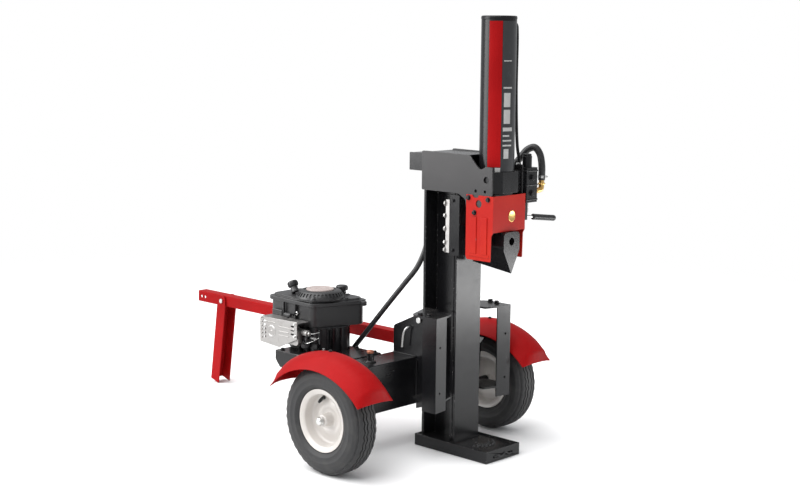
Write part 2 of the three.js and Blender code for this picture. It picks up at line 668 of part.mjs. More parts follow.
function guard() {
  const g = GUARD;
  const half = g.inner + g.sheet;
  const side = outline([
    [g.back, 790], [g.back + 6, g.bottom, 5], [g.front - 10, g.bottom, 5], [g.front - 8, g.lip - 14, 10],
    [g.front, g.lip], [g.front, g.top], [g.back + 62, g.top], [g.back + 56, 1012, 6],
    [g.back + 36, 1012, 6], [g.back + 30, g.top, 3], [g.back, g.top],
  ]);
  const skin = (y0, y1) => alongY(side, y0, y1);
  const near = skin(BEAM.y - half, BEAM.y - g.inner);
  const far = skin(BEAM.y + g.inner, BEAM.y + half);
  const front = block(g.front - g.sheet, g.front, BEAM.y - half, BEAM.y + half, g.lip, g.top);
  const rib = (y0, y1, x) => block(x - 12, x + 12, y0, y1, 806, 936);
  const ribs = [250, 306].flatMap((x) => [
    rib(BEAM.y - half - 3, BEAM.y - half + 1, x),
    rib(BEAM.y + half - 1, BEAM.y + half + 3, x),
  ]);
  const window = barY(14.5, 276, 990, BEAM.y - half - 5, BEAM.y + half + 5, 24);
  const body = join(cut(join(near, far), window), front, ...ribs);
  return mesh("wedge_guard", body, "red");
}

// Shelf brackets beside the beam that catch the split halves.
function cradle(side, name) {
  const c = CRADLE;
  const strip = outline([
    [c.front, c.inner], [c.front + c.turned, c.outer, 3], [c.front - 60, c.outer],
    [c.front - 60, c.outer - 4], [c.front + c.turned - 6, c.outer - 4], [c.front - 4, c.inner],
  ], 2);
  const shelf = (rear) => outline([
    [rear, 72.3], [rear + 24, 99], [48, 205, 14], [72, c.outer, 8],
    [c.front + c.turned, c.outer, 3], [c.front, c.inner], [154, 96], [70, 96], [62, 72.3],
  ], 3);
  const upright = alongZ(strip, c.bottom, c.top);
  const top = alongZ(shelf(-20), c.top - 1, c.top + 6);
  const low = alongZ(shelf(14), c.bottom + 36, c.bottom + 43);
  const bracket = join(upright, top, low);
  const hole = (z) => barX(5, c.inner + 42, z, c.front - 30, c.front + 30, 12);
  const body = cut(bracket, hole(262), hole(440));
  if (side > 0) return mesh(`cradle_${name}`, body.translate(0, BEAM.y, 0), "grey");
  const other = geometryOf(solid(body).mirror([0, 1, 0]));
  return mesh(`cradle_${name}`, other.translate(0, BEAM.y, 0), "grey");
}

// ---- wedge ----------------------------------------------------------------

function carriage() {
  const c = CARRIAGE;
  const base = block(BEAM.front + 0.5, c.face, BEAM.y - c.half, BEAM.y + c.half, c.bottom, c.top);
  const side = (s) => {
    const inner = BEAM.y + s * (BEAM.half + 0.8);
    const outer = BEAM.y + s * c.half;
    return block(124, BEAM.front + 2, Math.min(inner, outer), Math.max(inner, outer), c.bottom, c.top);
  };
  return mesh("wedge_carriage", join(base, side(-1), side(1)), "black");
}

function gib(side, name) {
  const c = CARRIAGE;
  const inner = BEAM.y + side * 54;
  const outer = BEAM.y + side * (c.half + 2);
  const y0 = Math.min(inner, outer);
  const y1 = Math.max(inner, outer);
  const keeper = block(104, 123.7, y0, y1, c.bottom + 8, c.top - 20);
  return mesh(`gib_plate_${name}`, keeper, "steel");
}

function wedge() {
  const w = WEDGE;
  const y = BEAM.y;
  const upper = outline([
    [y - w.half, w.tip - 8], [y + w.half, w.tip - 8], [y + w.half, w.top, 18], [y - w.half, w.top, 18],
  ], 4);
  const blank = alongX(upper, CARRIAGE.face - 1, w.nose);
  // Two slanted cutters leave the blade: its edge runs down towards the nose.
  const drop = w.heel - w.tip;
  const run = w.nose - CARRIAGE.face;
  const cheek = (s) => {
    const corner = [
      [y + s * 0.4, w.tip], [y + s * (w.half + 60), w.tip - 60],
      [y + s * (w.half + 60), w.shoulder + 118], [y + s * w.half, w.shoulder],
    ];
    const cutter = alongX(outline(s > 0 ? corner : corner.reverse()), -run - 20, 20);
    const spots = cutter.attributes.position;
    for (let i = 0; i < spots.count; i += 1) {
      spots.setZ(i, spots.getZ(i) - (spots.getX(i) * drop) / run);
    }
    return cutter.translate(w.nose, 0, 0);
  };
  const below = alongY(outline([
    [CARRIAGE.face - 40, w.tip - 60], [w.nose + 40, w.tip - 60],
    [w.nose + 40, w.tip - 5], [CARRIAGE.face - 40, w.heel + 5],
  ]), y - 80, y + 80);
  const eye = barX(15, y, 848, w.nose - 24, w.nose + 5, 16);
  const blade = cut(blank, cheek(1), cheek(-1), below, eye);
  const clear = geometryOf(solid(blade).subtract(solid(block(150, CARRIAGE.face + GAP, 0, 300, 600, 1000))));
  return mesh("wedge_blade", clear, "black");
}

function pistonRod() {
  const c = CYL;
  const head = c.top - 14 - c.crown;
  const profile = [
    [0, ROD.foot], [ROD.radius, ROD.foot], [ROD.radius, head], [c.bore - 0.6, head],
    [c.bore - 0.6, head + c.crown - 0.5],
    [0, head + c.crown - 0.5],
  ];
  return mesh("piston_rod", turned(profile, c.x, BEAM.y, 24), "steel");
}

// ---- lock rod -------------------------------------------------------------

function lockRod() {
  const ear = BEAM.y - EAR.inner - EAR.thickness;
  const route = [
    [-100, ear - 24, 386], [-96, ear - 24, 430], [-90, ear - 23, 452], [-82, ear - 18, 465],
    [LOCK.x, ear - 8, LOCK.z], [LOCK.x, ear + 2, LOCK.z], [LOCK.x, ear + 8, LOCK.z],
  ];
  return mesh("lock_rod", tube(route, LOCK.radius, 14, 8), "steel");
}

// ---- the whole machine ----------------------------------------------------

function group(name, ...pieces) {
  const made = new THREE.Group();
  made.name = name;
  made.add(...pieces);
  return made;
}

const machine = group(
  "log_splitter",
  group(
    "frame", tank(), fillerNeck(), fillerCap(), axle(-1, "near"), axle(1, "far"),
    axleNut(-1, "near"), axleNut(1, "far"), fender(-1, "near"), fender(1, "far"),
    ear(-1, "near"), ear(1, "far"), pivotBolt(), tongue(), jackBolt(), enginePlatform(), lockRod(),
    returnFitting(),
  ),
  group(
    "engine", crankcase(), shroud(), recoilHousing(), recoilDisc(), fuelCap(), oilFill(),
    starterGrip(), muffler(), mufflerGuard(), airCleaner(), pump(), driveCoupling(),
  ),
  wheelParts(-1, "near"),
  wheelParts(1, "far"),
  jackStand(),
  group(
    "beam_group", beam(), footPlate(), bracketPlate(-1, "near"), bracketPlate(1, "far"), bracketTop(),
    saddle(), cylinderBarrel(), cylinderCap(), cylinderGland(), cylinderCollar(), valveBody(),
    spool(), leverRod(), leverGrip(), elbow(), hydraulicTube(), guard(), cradle(-1, "near"),
    cradle(1, "far"),
  ),
  group("hoses", returnHose(), pressureHose()),
  group("wedge_group", carriage(), gib(-1, "near"), gib(1, "far"), wedge(), pistonRod()),
);

machine.position.x = (-TONGUE.rear - WEDGE.nose) / 2;

export default machine;
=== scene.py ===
# %% [markdown]
# # A towable log splitter
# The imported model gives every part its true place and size. This script dresses it: rounded
# edges, turned and pressed shapes, hoses, bolts, weld beads and painted or bare metal.
# Lengths in this lesson are millimetres from the ground under the middle of the axle,
# because that is how a workshop drawing of a trailer is measured.

# %% Load the frame
import json
import math
import random

import bmesh
import bpy
from mathutils import Matrix, Vector

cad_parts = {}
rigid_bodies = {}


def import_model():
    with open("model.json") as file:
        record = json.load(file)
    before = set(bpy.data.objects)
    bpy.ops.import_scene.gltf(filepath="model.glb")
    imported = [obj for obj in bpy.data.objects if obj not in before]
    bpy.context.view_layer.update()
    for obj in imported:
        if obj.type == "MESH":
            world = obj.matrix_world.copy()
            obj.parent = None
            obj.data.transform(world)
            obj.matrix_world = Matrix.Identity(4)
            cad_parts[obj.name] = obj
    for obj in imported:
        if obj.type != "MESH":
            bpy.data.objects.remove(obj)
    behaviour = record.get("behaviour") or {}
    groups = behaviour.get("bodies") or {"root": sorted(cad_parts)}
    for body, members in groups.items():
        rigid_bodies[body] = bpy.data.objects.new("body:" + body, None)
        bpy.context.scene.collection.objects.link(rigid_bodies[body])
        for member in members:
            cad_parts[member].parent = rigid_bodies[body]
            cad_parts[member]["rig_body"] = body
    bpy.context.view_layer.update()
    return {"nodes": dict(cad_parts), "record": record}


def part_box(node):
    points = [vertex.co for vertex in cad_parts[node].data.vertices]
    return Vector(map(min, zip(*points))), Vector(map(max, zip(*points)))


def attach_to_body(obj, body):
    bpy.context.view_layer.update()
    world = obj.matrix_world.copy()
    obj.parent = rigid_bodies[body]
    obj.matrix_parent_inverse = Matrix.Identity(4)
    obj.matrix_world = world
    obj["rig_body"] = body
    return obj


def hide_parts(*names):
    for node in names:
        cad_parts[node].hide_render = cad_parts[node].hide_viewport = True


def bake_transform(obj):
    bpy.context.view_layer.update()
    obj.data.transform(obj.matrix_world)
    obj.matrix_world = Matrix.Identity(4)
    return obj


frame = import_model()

MM = 0.001
WEST, NORTH, SOUTH, UP = (-1, 0, 0), (0, 1, 0), (0, -1, 0), (0, 0, 1)
nodes = frame["nodes"]
slot_of_node = {part["node"]: part["material_slot"] for part in frame["record"]["subparts"]}
wheel_low, wheel_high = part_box("tyre_near")
AXLE_X = (wheel_low[0] + wheel_high[0]) / 2
BEAM_Y = sum(corner[1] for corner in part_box("beam")) / 2 / MM


def at(x, y, z):
    """A point in metres, from millimetres measured at the axle's middle on the ground."""
    return Vector((AXLE_X + x * MM, y * MM, z * MM))


print("nodes", len(nodes), "axle at", round(AXLE_X, 4), "beam centre line", round(BEAM_Y, 2), "mm")

# %% [markdown]
# ## Camera
# The view is set first, so that every later choice is judged from where the machine is seen.
# It stands off the front left corner, a little above the top of the cylinder's bracket, and
# looks slightly down. A long lens keeps the upright edges almost parallel, as a catalogue
# view does. The three turns are the heading, the tilt down and a very small roll.

# %% Camera
HEADING = 43.878
TILT_DOWN = 7.644
ROLL = 0.548
camera_data = bpy.data.cameras.new("studio_camera")
camera_data.sensor_width = 36.0
camera_data.lens = 62.83
camera_data.shift_x = -0.0047
camera_data.shift_y = -0.029
camera = bpy.data.objects.new("studio_camera", camera_data)
bpy.context.scene.collection.objects.link(camera)
turns = (
    Matrix.Rotation(math.radians(HEADING), 4, "Z")
    @ Matrix.Rotation(math.radians(90 - TILT_DOWN), 4, "X")
    @ Matrix.Rotation(math.radians(ROLL), 4, "Z")
)
camera.matrix_world = Matrix.Translation(at(3667.6, -3890.8, 1597.0)) @ turns
bpy.context.scene.camera = camera
print("camera at", [round(v, 3) for v in camera.location])

# %% [markdown]
# ## Modelling helpers
# Blender's operators act on whatever is selected, so each helper first clears the selection
# and holds one piece. In edit mode, faces or edges are picked by a test on their place or
# direction, which is what a person does with the mouse.

# %% Helpers for selecting and editing
def clear():
    if bpy.context.mode != "OBJECT":
        bpy.ops.object.mode_set(mode="OBJECT")
    bpy.ops.object.select_all(action="DESELECT")


def hold(piece):
    clear()
    piece.select_set(True)
    bpy.context.view_layer.objects.active = piece
    return piece


def edit(piece, kind="FACE", whole=False):
    """Into edit mode, with nothing selected, or with the whole mesh."""
    hold(piece)
    bpy.ops.object.mode_set(mode="EDIT")
    bpy.ops.mesh.select_mode(type=kind)
    bpy.ops.mesh.select_all(action="SELECT" if whole else "DESELECT")


def pick(piece, wanted, kind="faces"):
    """In edit mode, selects the faces, edges or vertices for which wanted(element) is true."""
    shape = bmesh.from_edit_mesh(piece.data)
    chosen = [element for element in getattr(shape, kind) if wanted(element)]
    for element in chosen:
        element.select_set(True)
    shape.select_flush(True)
    bmesh.update_edit_mesh(piece.data)
    return len(chosen)


def done(piece, angle=32):
    """Back to object mode, with soft shading that keeps edges sharper than the angle."""
    hold(piece)
    bpy.ops.object.shade_smooth_by_angle(angle=math.radians(angle))
    clear()
    return piece


def modify(piece, kind, **settings):
    """Adds a modifier, sets it and applies it."""
    hold(piece)
    modifier = piece.modifiers.new(kind.lower(), kind)
    for key, value in settings.items():
        setattr(modifier, key, value)
    bpy.ops.object.modifier_apply(modifier=modifier.name)
    return piece


# %% [markdown]
# Worn paint shows first on corners. `soften` rounds every sharp edge with a bevel and marks
# the narrow new faces with an attribute named `edge`, which the paint reads later. A face is
# new if its plane was not there before the bevel.

# %% Helpers for edges
def plane_of(face):
    normal = face.normal
    return tuple(round(v, 2) for v in (*normal, normal.dot(face.center) * 20))


def soften(piece, width=1.5, segments=2, angle=30):
    before = {plane_of(face) for face in piece.data.polygons}
    modify(
        piece, "BEVEL", width=width * MM, segments=segments, limit_method="ANGLE",
        angle_limit=math.radians(angle), use_clamp_overlap=True,
    )
    hold(piece)
    bpy.ops.object.shade_smooth()
    modify(piece, "WEIGHTED_NORMAL", weight=100, keep_sharp=False)
    marks = piece.data.attributes.new("edge", "FLOAT", "FACE")
    for face, mark in zip(piece.data.polygons, marks.data):
        mark.value = 0.0 if plane_of(face) in before else 1.0
    return piece


def from_frame(node, name=None):
    """A clean copy of a CAD node: its loose triangles are merged and flat areas made whole."""
    clear()
    piece = bpy.data.objects.new(name or f"{node}_finished", nodes[node].data.copy())
    bpy.context.scene.collection.objects.link(piece)
    piece.data.materials.clear()
    edit(piece, "VERT", whole=True)
    bpy.ops.mesh.remove_doubles(threshold=0.00002)
    bpy.ops.mesh.dissolve_limited(angle_limit=math.radians(0.6))
    bpy.ops.object.mode_set(mode="OBJECT")
    return piece


# %% [markdown]
# ## Shapes made again and again
# A turned piece is an outline spun round an axis. A pipe is a round section drawn along a
# line. A block is a cube brought to size and given rounded edges. Each helper ends with the
# place in the mesh and the object at the origin, so that patterns stay where they are put.

# %% Turned pieces
AXIS_TURN = {
    "Z": Matrix.Identity(4),
    "Y": Matrix.Rotation(math.radians(-90), 4, "X"),
    "X": Matrix.Rotation(math.radians(90), 4, "Y"),
}


def place(piece, centre, axis="Z", flip=False):
    """Lays a piece that was made upright at the origin along an axis, at its place."""
    turn = AXIS_TURN[axis]
    if flip:
        turn = turn @ Matrix.Rotation(math.pi, 4, "X")
    piece.data.transform(Matrix.Translation(at(*centre)) @ turn)
    return piece


def one_point(name, spot):
    """Starts a piece as a single selected point, and leaves it in edit mode."""
    clear()
    bpy.ops.mesh.primitive_circle_add(vertices=3, radius=MM)
    piece = bpy.context.object
    piece.name = name
    edit(piece, "VERT")
    pick(piece, lambda v: v.index > 0, "verts")
    bpy.ops.mesh.delete(type="VERT")
    pick(piece, lambda v: True, "verts")
    bpy.ops.transform.translate(value=spot - Vector((0, MM, 0)))
    return piece


def spun(name, outline, steps=64, closed=False):
    """Spins an outline of (radius, height) points, in millimetres, about the upright axis."""
    spots = [Vector((r * MM, 0, h * MM)) for r, h in outline]
    piece = one_point(name, spots[0])
    for last, spot in zip(spots, spots[1:] + spots[:1] * closed):
        bpy.ops.mesh.extrude_region_move(TRANSFORM_OT_translate={"value": spot - last})
    bpy.ops.mesh.select_all(action="SELECT")
    bpy.ops.mesh.remove_doubles(threshold=0.00001)
    bpy.ops.mesh.spin(steps=steps, angle=2 * math.pi, center=(0, 0, 0), axis=(0, 0, 1))
    bpy.ops.mesh.select_all(action="SELECT")
    bpy.ops.mesh.remove_doubles(threshold=0.00001)
    bpy.ops.mesh.normals_make_consistent(inside=False)
    bpy.ops.object.mode_set(mode="OBJECT")
    return piece


def turned(name, outline, steps, centre, axis="Z", angle=30, closed=False, flip=False):
    """A spun piece at its place, with edges kept sharp above the angle."""
    return done(place(spun(name, outline, steps, closed), centre, axis, flip), angle)


# %% Blocks and pipes
def block(name, low, high, round_by=1.5, segments=2):
    clear()
    size = [(b - a) * MM for a, b in zip(low, high)]
    middle = at(*[(a + b) / 2 for a, b in zip(low, high)])
    bpy.ops.mesh.primitive_cube_add(size=1, location=middle)
    piece = bpy.context.object
    piece.name = name
    piece.scale = size
    bpy.ops.object.transform_apply(location=True, rotation=True, scale=True)
    return soften(piece, round_by, segments)


def smooth_route(points, steps):
    """Points along one smooth curve through all the given points."""
    spots = [Vector(p) for p in points]
    spots = [spots[0] * 2 - spots[1], *spots, spots[-1] * 2 - spots[-2]]
    route = []
    spans = len(spots) - 3
    for k in range(steps + 1):
        along = spans * k / steps
        i = min(int(along), spans - 1)
        t = along - i
        a, b, c, d = spots[i:i + 4]
        gaps = ((a, b), (b, c), (c, d))
        before, here, after = [max((q - p).length ** 0.5, 1e-6) for p, q in gaps]
        leave = ((b - a) / before - (c - a) / (before + here) + (c - b) / here) * here
        reach = ((c - b) / here - (d - b) / (here + after) + (d - c) / after) * here
        curve = b + leave * t + (3 * (c - b) - 2 * leave - reach) * t ** 2
        route.append(curve + (2 * (b - c) + leave + reach) * t ** 3)
    return route


def pipe(name, route, radius, sides=16, swell=None):
    """A round bar along a route in millimetres; swell(k) makes ring k thicker or thinner."""
    clear()
    curve = bpy.data.curves.new(name, "CURVE")
    curve.dimensions = "3D"
    curve.bevel_depth = radius * MM
    curve.bevel_resolution = max(1, sides // 4 - 1)
    curve.use_fill_caps = True
    line = curve.splines.new("POLY")
    line.points.add(len(route) - 1)
    for k, (knot, spot) in enumerate(zip(line.points, route)):
        knot.co = (*at(*spot), 1)
        knot.radius = swell(k) if swell else 1.0
    piece = bpy.data.objects.new(name, curve)
    bpy.context.scene.collection.objects.link(piece)
    hold(piece)
    bpy.ops.object.convert(target="MESH")
    piece = bpy.context.object
    edit(piece, "VERT", whole=True)
    bpy.ops.mesh.remove_doubles(threshold=0.000005)
    bpy.ops.mesh.normals_make_consistent(inside=False)
    bpy.ops.object.mode_set(mode="OBJECT")
    return done(piece, 50)


def length_of(route):
    return sum((Vector(q) - Vector(p)).length for p, q in zip(route, route[1:])) * MM


def joined(name, pieces):
    """Makes one piece of several, as when small fasteners of one kind are kept together."""
    clear()
    for piece in pieces:
        piece.select_set(True)
    bpy.context.view_layer.objects.active = pieces[0]
    if len(pieces) > 1:
        bpy.ops.object.join()
    pieces[0].name = name
    clear()
    return pieces[0]


def drop(*patterns):
    """Removes pieces that were made only to be copied."""
    for pattern in patterns:
        bpy.data.objects.remove(pattern)


def again(piece, name, matrix=Matrix.Identity(4)):
    """A copy with its own mesh, moved by a matrix."""
    twin = bpy.data.objects.new(name, piece.data.copy())
    bpy.context.scene.collection.objects.link(twin)
    twin.data.transform(matrix)
    if matrix.determinant() < 0:
        twin.data.flip_normals()
    return twin


# %% Bolts, made once for each size
def bolt_head(name, across, height, washer=1.0, shank=0.0):
    """A hexagon head on a washer, standing on the ground plane at the origin."""
    clear()
    bpy.ops.mesh.primitive_cylinder_add(
        vertices=6, radius=across / math.sqrt(3) * MM, depth=height * MM,
        location=(0, 0, (washer + height / 2) * MM),
    )
    head = bpy.context.object
    bpy.ops.object.transform_apply(location=True, rotation=True, scale=True)
    edit(head)
    pick(head, lambda f: f.normal.z > 0.9)
    bpy.ops.mesh.inset(thickness=across * 0.07 * MM)
    bpy.ops.transform.translate(value=(0, 0, height * 0.14 * MM))
    bpy.ops.object.mode_set(mode="OBJECT")
    parts = [soften(head, across * 0.03, 2, 20)]
    rim = across * 0.72
    outline = [(0, 0), (rim, 0), (rim, washer * 0.7), (rim - washer * 0.3, washer), (0, washer)]
    parts.append(done(spun(name + "_ring", outline, 32)))
    if shank > 0:
        stub = across * 0.3
        top = washer + height + shank
        outline = [(0, height), (stub, height), (stub, top - 1), (stub - 1, top), (0, top)]
        parts.append(done(spun(name + "_stub", outline, 20)))
    return joined(name, parts)


def bolts(name, pattern, spots):
    """Copies of a bolt head at each (place, outward direction)."""
    made = []
    for k, (centre, outward) in enumerate(spots):
        turn = Vector((0, 0, 1)).rotation_difference(Vector(outward)).to_matrix().to_4x4()
        spin = Matrix.Rotation(math.radians(37 * k), 4, "Z")
        made.append(again(pattern, f"{name}_{k}", Matrix.Translation(at(*centre)) @ turn @ spin))
    return joined(name, made)


def weld(name, corners, radius=2.6, pitch=2.4):
    """A rippled bead of weld along straight runs between corners."""
    route = [Vector(corners[0])]
    for a, b in zip(corners, corners[1:]):
        a, b = Vector(a), Vector(b)
        count = max(2, round((b - a).length / (pitch / 2)))
        route += [a.lerp(b, k / count) for k in range(1, count + 1)]
    draw = random.Random(name)

    def dab(k):
        return (0.86 if k % 2 else 1.08) + draw.uniform(-0.06, 0.06)

    return pipe(name, route, radius, 8, dab)


# %% [markdown]
# ## Finishes
# A finish is a small network of nodes. `Wire` holds one output socket and turns Python
# sums into Math nodes, so a recipe reads like arithmetic. `Finish` makes any other node
# with one method. All patterns are laid on Object coordinates, which are metres here,
# so a noise of scale 100 has lumps of about 10 mm.

# %% Wires and finishes
class Wire:
    def __init__(self, finish, socket):
        self.finish = finish
        self.socket = socket

    def sum_of(self, kind, first, second, clamp=False):
        settings = {"operation": kind, "use_clamp": clamp}
        return self.finish.node("ShaderNodeMath", settings, {0: first, 1: second})

    def __add__(self, other):
        return self.sum_of("ADD", self, other)

    def __sub__(self, other):
        return self.sum_of("SUBTRACT", self, other)

    def __rsub__(self, other):
        return self.sum_of("SUBTRACT", other, self)

    def __mul__(self, other):
        return self.sum_of("MULTIPLY", self, other)

    __radd__ = __add__
    __rmul__ = __mul__

    def within(self, low, high):
        """0 below low, 1 above high, and a soft rise between."""
        settings = {"interpolation_type": "SMOOTHSTEP"}
        return self.finish.node("ShaderNodeMapRange", settings, {0: self, 1: low, 2: high})


class Finish:
    def __init__(self, name):
        self.material = bpy.data.materials.new(name)
        self.material.use_nodes = True
        self.tree = self.material.node_tree
        self.tree.nodes.clear()
        self.spot = self.node("ShaderNodeTexCoord", out="Object")

    def node(self, kind, settings=None, sockets=None, out=0):
        made = self.tree.nodes.new(kind)
        for key, value in (settings or {}).items():
            setattr(made, key, value)
        for key, value in (sockets or {}).items():
            if isinstance(value, Wire):
                self.tree.links.new(value.socket, made.inputs[key])
            else:
                made.inputs[key].default_value = value
        return Wire(self, made.outputs[out])

    def noise(self, scale, detail=3.0, roughness=0.55, stretch=(1, 1, 1)):
        where = self.spot
        if stretch != (1, 1, 1):
            where = self.node("ShaderNodeMapping", None, {"Vector": self.spot, "Scale": stretch})
        sockets = {"Vector": where, "Scale": scale, "Detail": detail, "Roughness": roughness}
        return self.node("ShaderNodeTexNoise", None, sockets)

    def mark(self, name):
        settings = {"attribute_type": "GEOMETRY", "attribute_name": name}
        return self.node("ShaderNodeAttribute", settings, out="Fac")

    def upward(self):
        normal = self.node("ShaderNodeNewGeometry", out="Normal")
        return self.node("ShaderNodeSeparateXYZ", None, {0: normal}, out="Z")

    def blend(self, amount, first, second):
        colours = {0: amount, 6: first, 7: second}
        return self.node("ShaderNodeMix", {"data_type": "RGBA"}, colours, out=2)

    def bump(self, height, depth, strength=1.0, normal=None):
        sockets = {"Height": height, "Distance": depth * MM, "Strength": strength}
        if normal:
            sockets["Normal"] = normal
        return self.node("ShaderNodeBump", None, sockets)

    def surface(self, colour, roughness, metallic=0.0, normal=None, **fixed):
        sockets = {"Base Color": colour, "Roughness": roughness, "Metallic": metallic}
        if normal:
            sockets["Normal"] = normal
        sockets.update({key.replace("_", " "): value for key, value in fixed.items()})
        shader = self.node("ShaderNodeBsdfPrincipled", None, sockets)
        output = self.tree.nodes.new("ShaderNodeOutputMaterial")
        self.tree.links.new(shader.socket, output.inputs["Surface"])
        return self.material


def tone(red, green, blue):
    return (red, green, blue, 1.0)


# %% [markdown]
# ### Enamel
# Farm machines are sprayed with enamel straight onto steel that still shows its mill
# surface. The coat has a fine orange peel, a slow change of shade over a panel, dull
# patches where it has been handled and small chips down to grey steel along the edges.

# %% Enamel recipe
CHIP = tone(0.24, 0.235, 0.23)


def enamel(name, colour, deep, shine, chips=0.5, peel=0.25, dust=0.06, coat=0.25, level=0.5):
    f = Finish(name)
    broad = f.noise(4.5, 2.0).within(0.3, 0.7)
    patch = f.noise(26.0, 4.0)
    grain = f.noise(640.0, 2.0)
    spots = f.noise(170.0, 4.0, 0.65)
    worn = f.mark("edge") * spots.within(0.70 - 0.22 * chips, 0.76 - 0.2 * chips)
    nicks = f.noise(95.0, 3.0, 0.5).within(0.755, 0.775) * spots.within(0.45, 0.55)
    bare = worn.sum_of("MINIMUM", worn + nicks * chips, 1.0)
    settled = f.upward().within(0.5, 0.95) * patch.within(0.35, 0.7) * dust
    shade = f.blend(broad * 0.8 + (patch - 0.5) * 0.5, deep, colour)
    dusty = f.blend(settled, shade, tone(0.42, 0.39, 0.35))
    base = f.blend(bare, dusty, CHIP)
    roughness = (patch - 0.5) * 0.16 + shine + bare * 0.18 + settled * 0.8
    coated = f.bump(grain, peel, 0.5)
    normal = f.bump(1.0 - bare, 0.25, 0.6, coated)
    return f.surface(
        base, roughness, bare * 0.7, normal, Coat_Weight=coat, Coat_Roughness=0.12,
        Specular_IOR_Level=level,
    )


# %% [markdown]
# ### Bare and plated metal
# Ground or drawn steel has fine lines along one direction, which spread its highlights,
# and a film of brownish grime in patches. Cast parts are grainy instead of lined.

# %% Metal recipes
def metal(name, colour, grime, shine, lines=(1, 1, 40), grainy=0.1, soil=0.5):
    f = Finish(name)
    drawn = f.noise(300.0, 2.0, 0.5, lines)
    patch = f.noise(38.0, 5.0, 0.6)
    soiled = patch.within(0.5, 0.72) * soil
    base = f.blend(soiled + (drawn - 0.5) * 0.3, colour, grime)
    roughness = shine + (drawn - 0.5) * 0.22 + soiled * 0.3
    normal = f.bump(drawn, grainy, 0.5)
    return f.surface(base, roughness, 1.0 - soiled * 0.35, normal)


def cast(name, colour, deep, shine, metallic=0.2, lump=0.5):
    f = Finish(name)
    sand = f.noise(420.0, 4.0, 0.7)
    broad = f.noise(30.0, 3.0)
    spots = f.noise(150.0, 4.0, 0.6)
    worn = f.mark("edge") * spots.within(0.56, 0.64)
    base = f.blend(worn, f.blend(broad.within(0.3, 0.7), deep, colour), CHIP)
    normal = f.bump(sand, lump, 0.6)
    return f.surface(base, (sand - 0.5) * 0.25 + shine, metallic + worn * 0.5, normal)


# %% [markdown]
# ### Rubber and plastic
# A tyre is dull and a little dusty in patches. Hose cover is smoother, with a cloth
# print under the skin. Moulded plastic on the engine has a fine leather grain that keeps
# highlights broad, and small knobs are smoother than large covers.

# %% Rubber and plastic recipes
def rubber(name, colour, dusty, shine, grain=0.4, soil=0.5):
    f = Finish(name)
    fine = f.noise(900.0, 3.0, 0.7)
    patch = f.noise(22.0, 5.0, 0.6)
    soiled = patch.within(0.42, 0.72) * soil
    base = f.blend(soiled, colour, dusty)
    roughness = shine + (fine - 0.5) * 0.2 + soiled * 0.15
    return f.surface(base, roughness, 0.0, f.bump(fine, grain, 0.5))


def plastic(name, colour, pale, shine, grain=0.25, pitch=520.0):
    f = Finish(name)
    cells = f.node("ShaderNodeTexVoronoi", None, {"Vector": f.spot, "Scale": pitch})
    patch = f.noise(30.0, 4.0)
    scuffs = f.noise(70.0, 3.0, 0.6, (1, 6, 1)).within(0.62, 0.70)
    rubbed = f.mark("edge") * f.noise(120.0, 3.0).within(0.45, 0.6)
    worn = scuffs * 0.25 + rubbed * 0.5
    base = f.blend(worn + (patch - 0.5) * 0.25, colour, pale)
    roughness = (patch - 0.5) * 0.15 + shine + scuffs * 0.08
    return f.surface(base, roughness, 0.0, f.bump(cells, grain, 0.4))


def sticker(name, colour, shine):
    """A printed sticker: smooth vinyl with tiny air bubbles and a rubbed print."""
    f = Finish(name)
    bubbles = f.noise(260.0, 2.0).within(0.68, 0.74)
    rubbed = f.noise(45.0, 5.0, 0.7).within(0.55, 0.8)
    pale = tone(*[min(1.0, channel * 1.6 + 0.02) for channel in colour[:3]])
    base = f.blend(rubbed * 0.5, colour, pale)
    return f.surface(base, shine + rubbed * 0.15, 0.0, f.bump(bubbles, 0.2, 0.5))


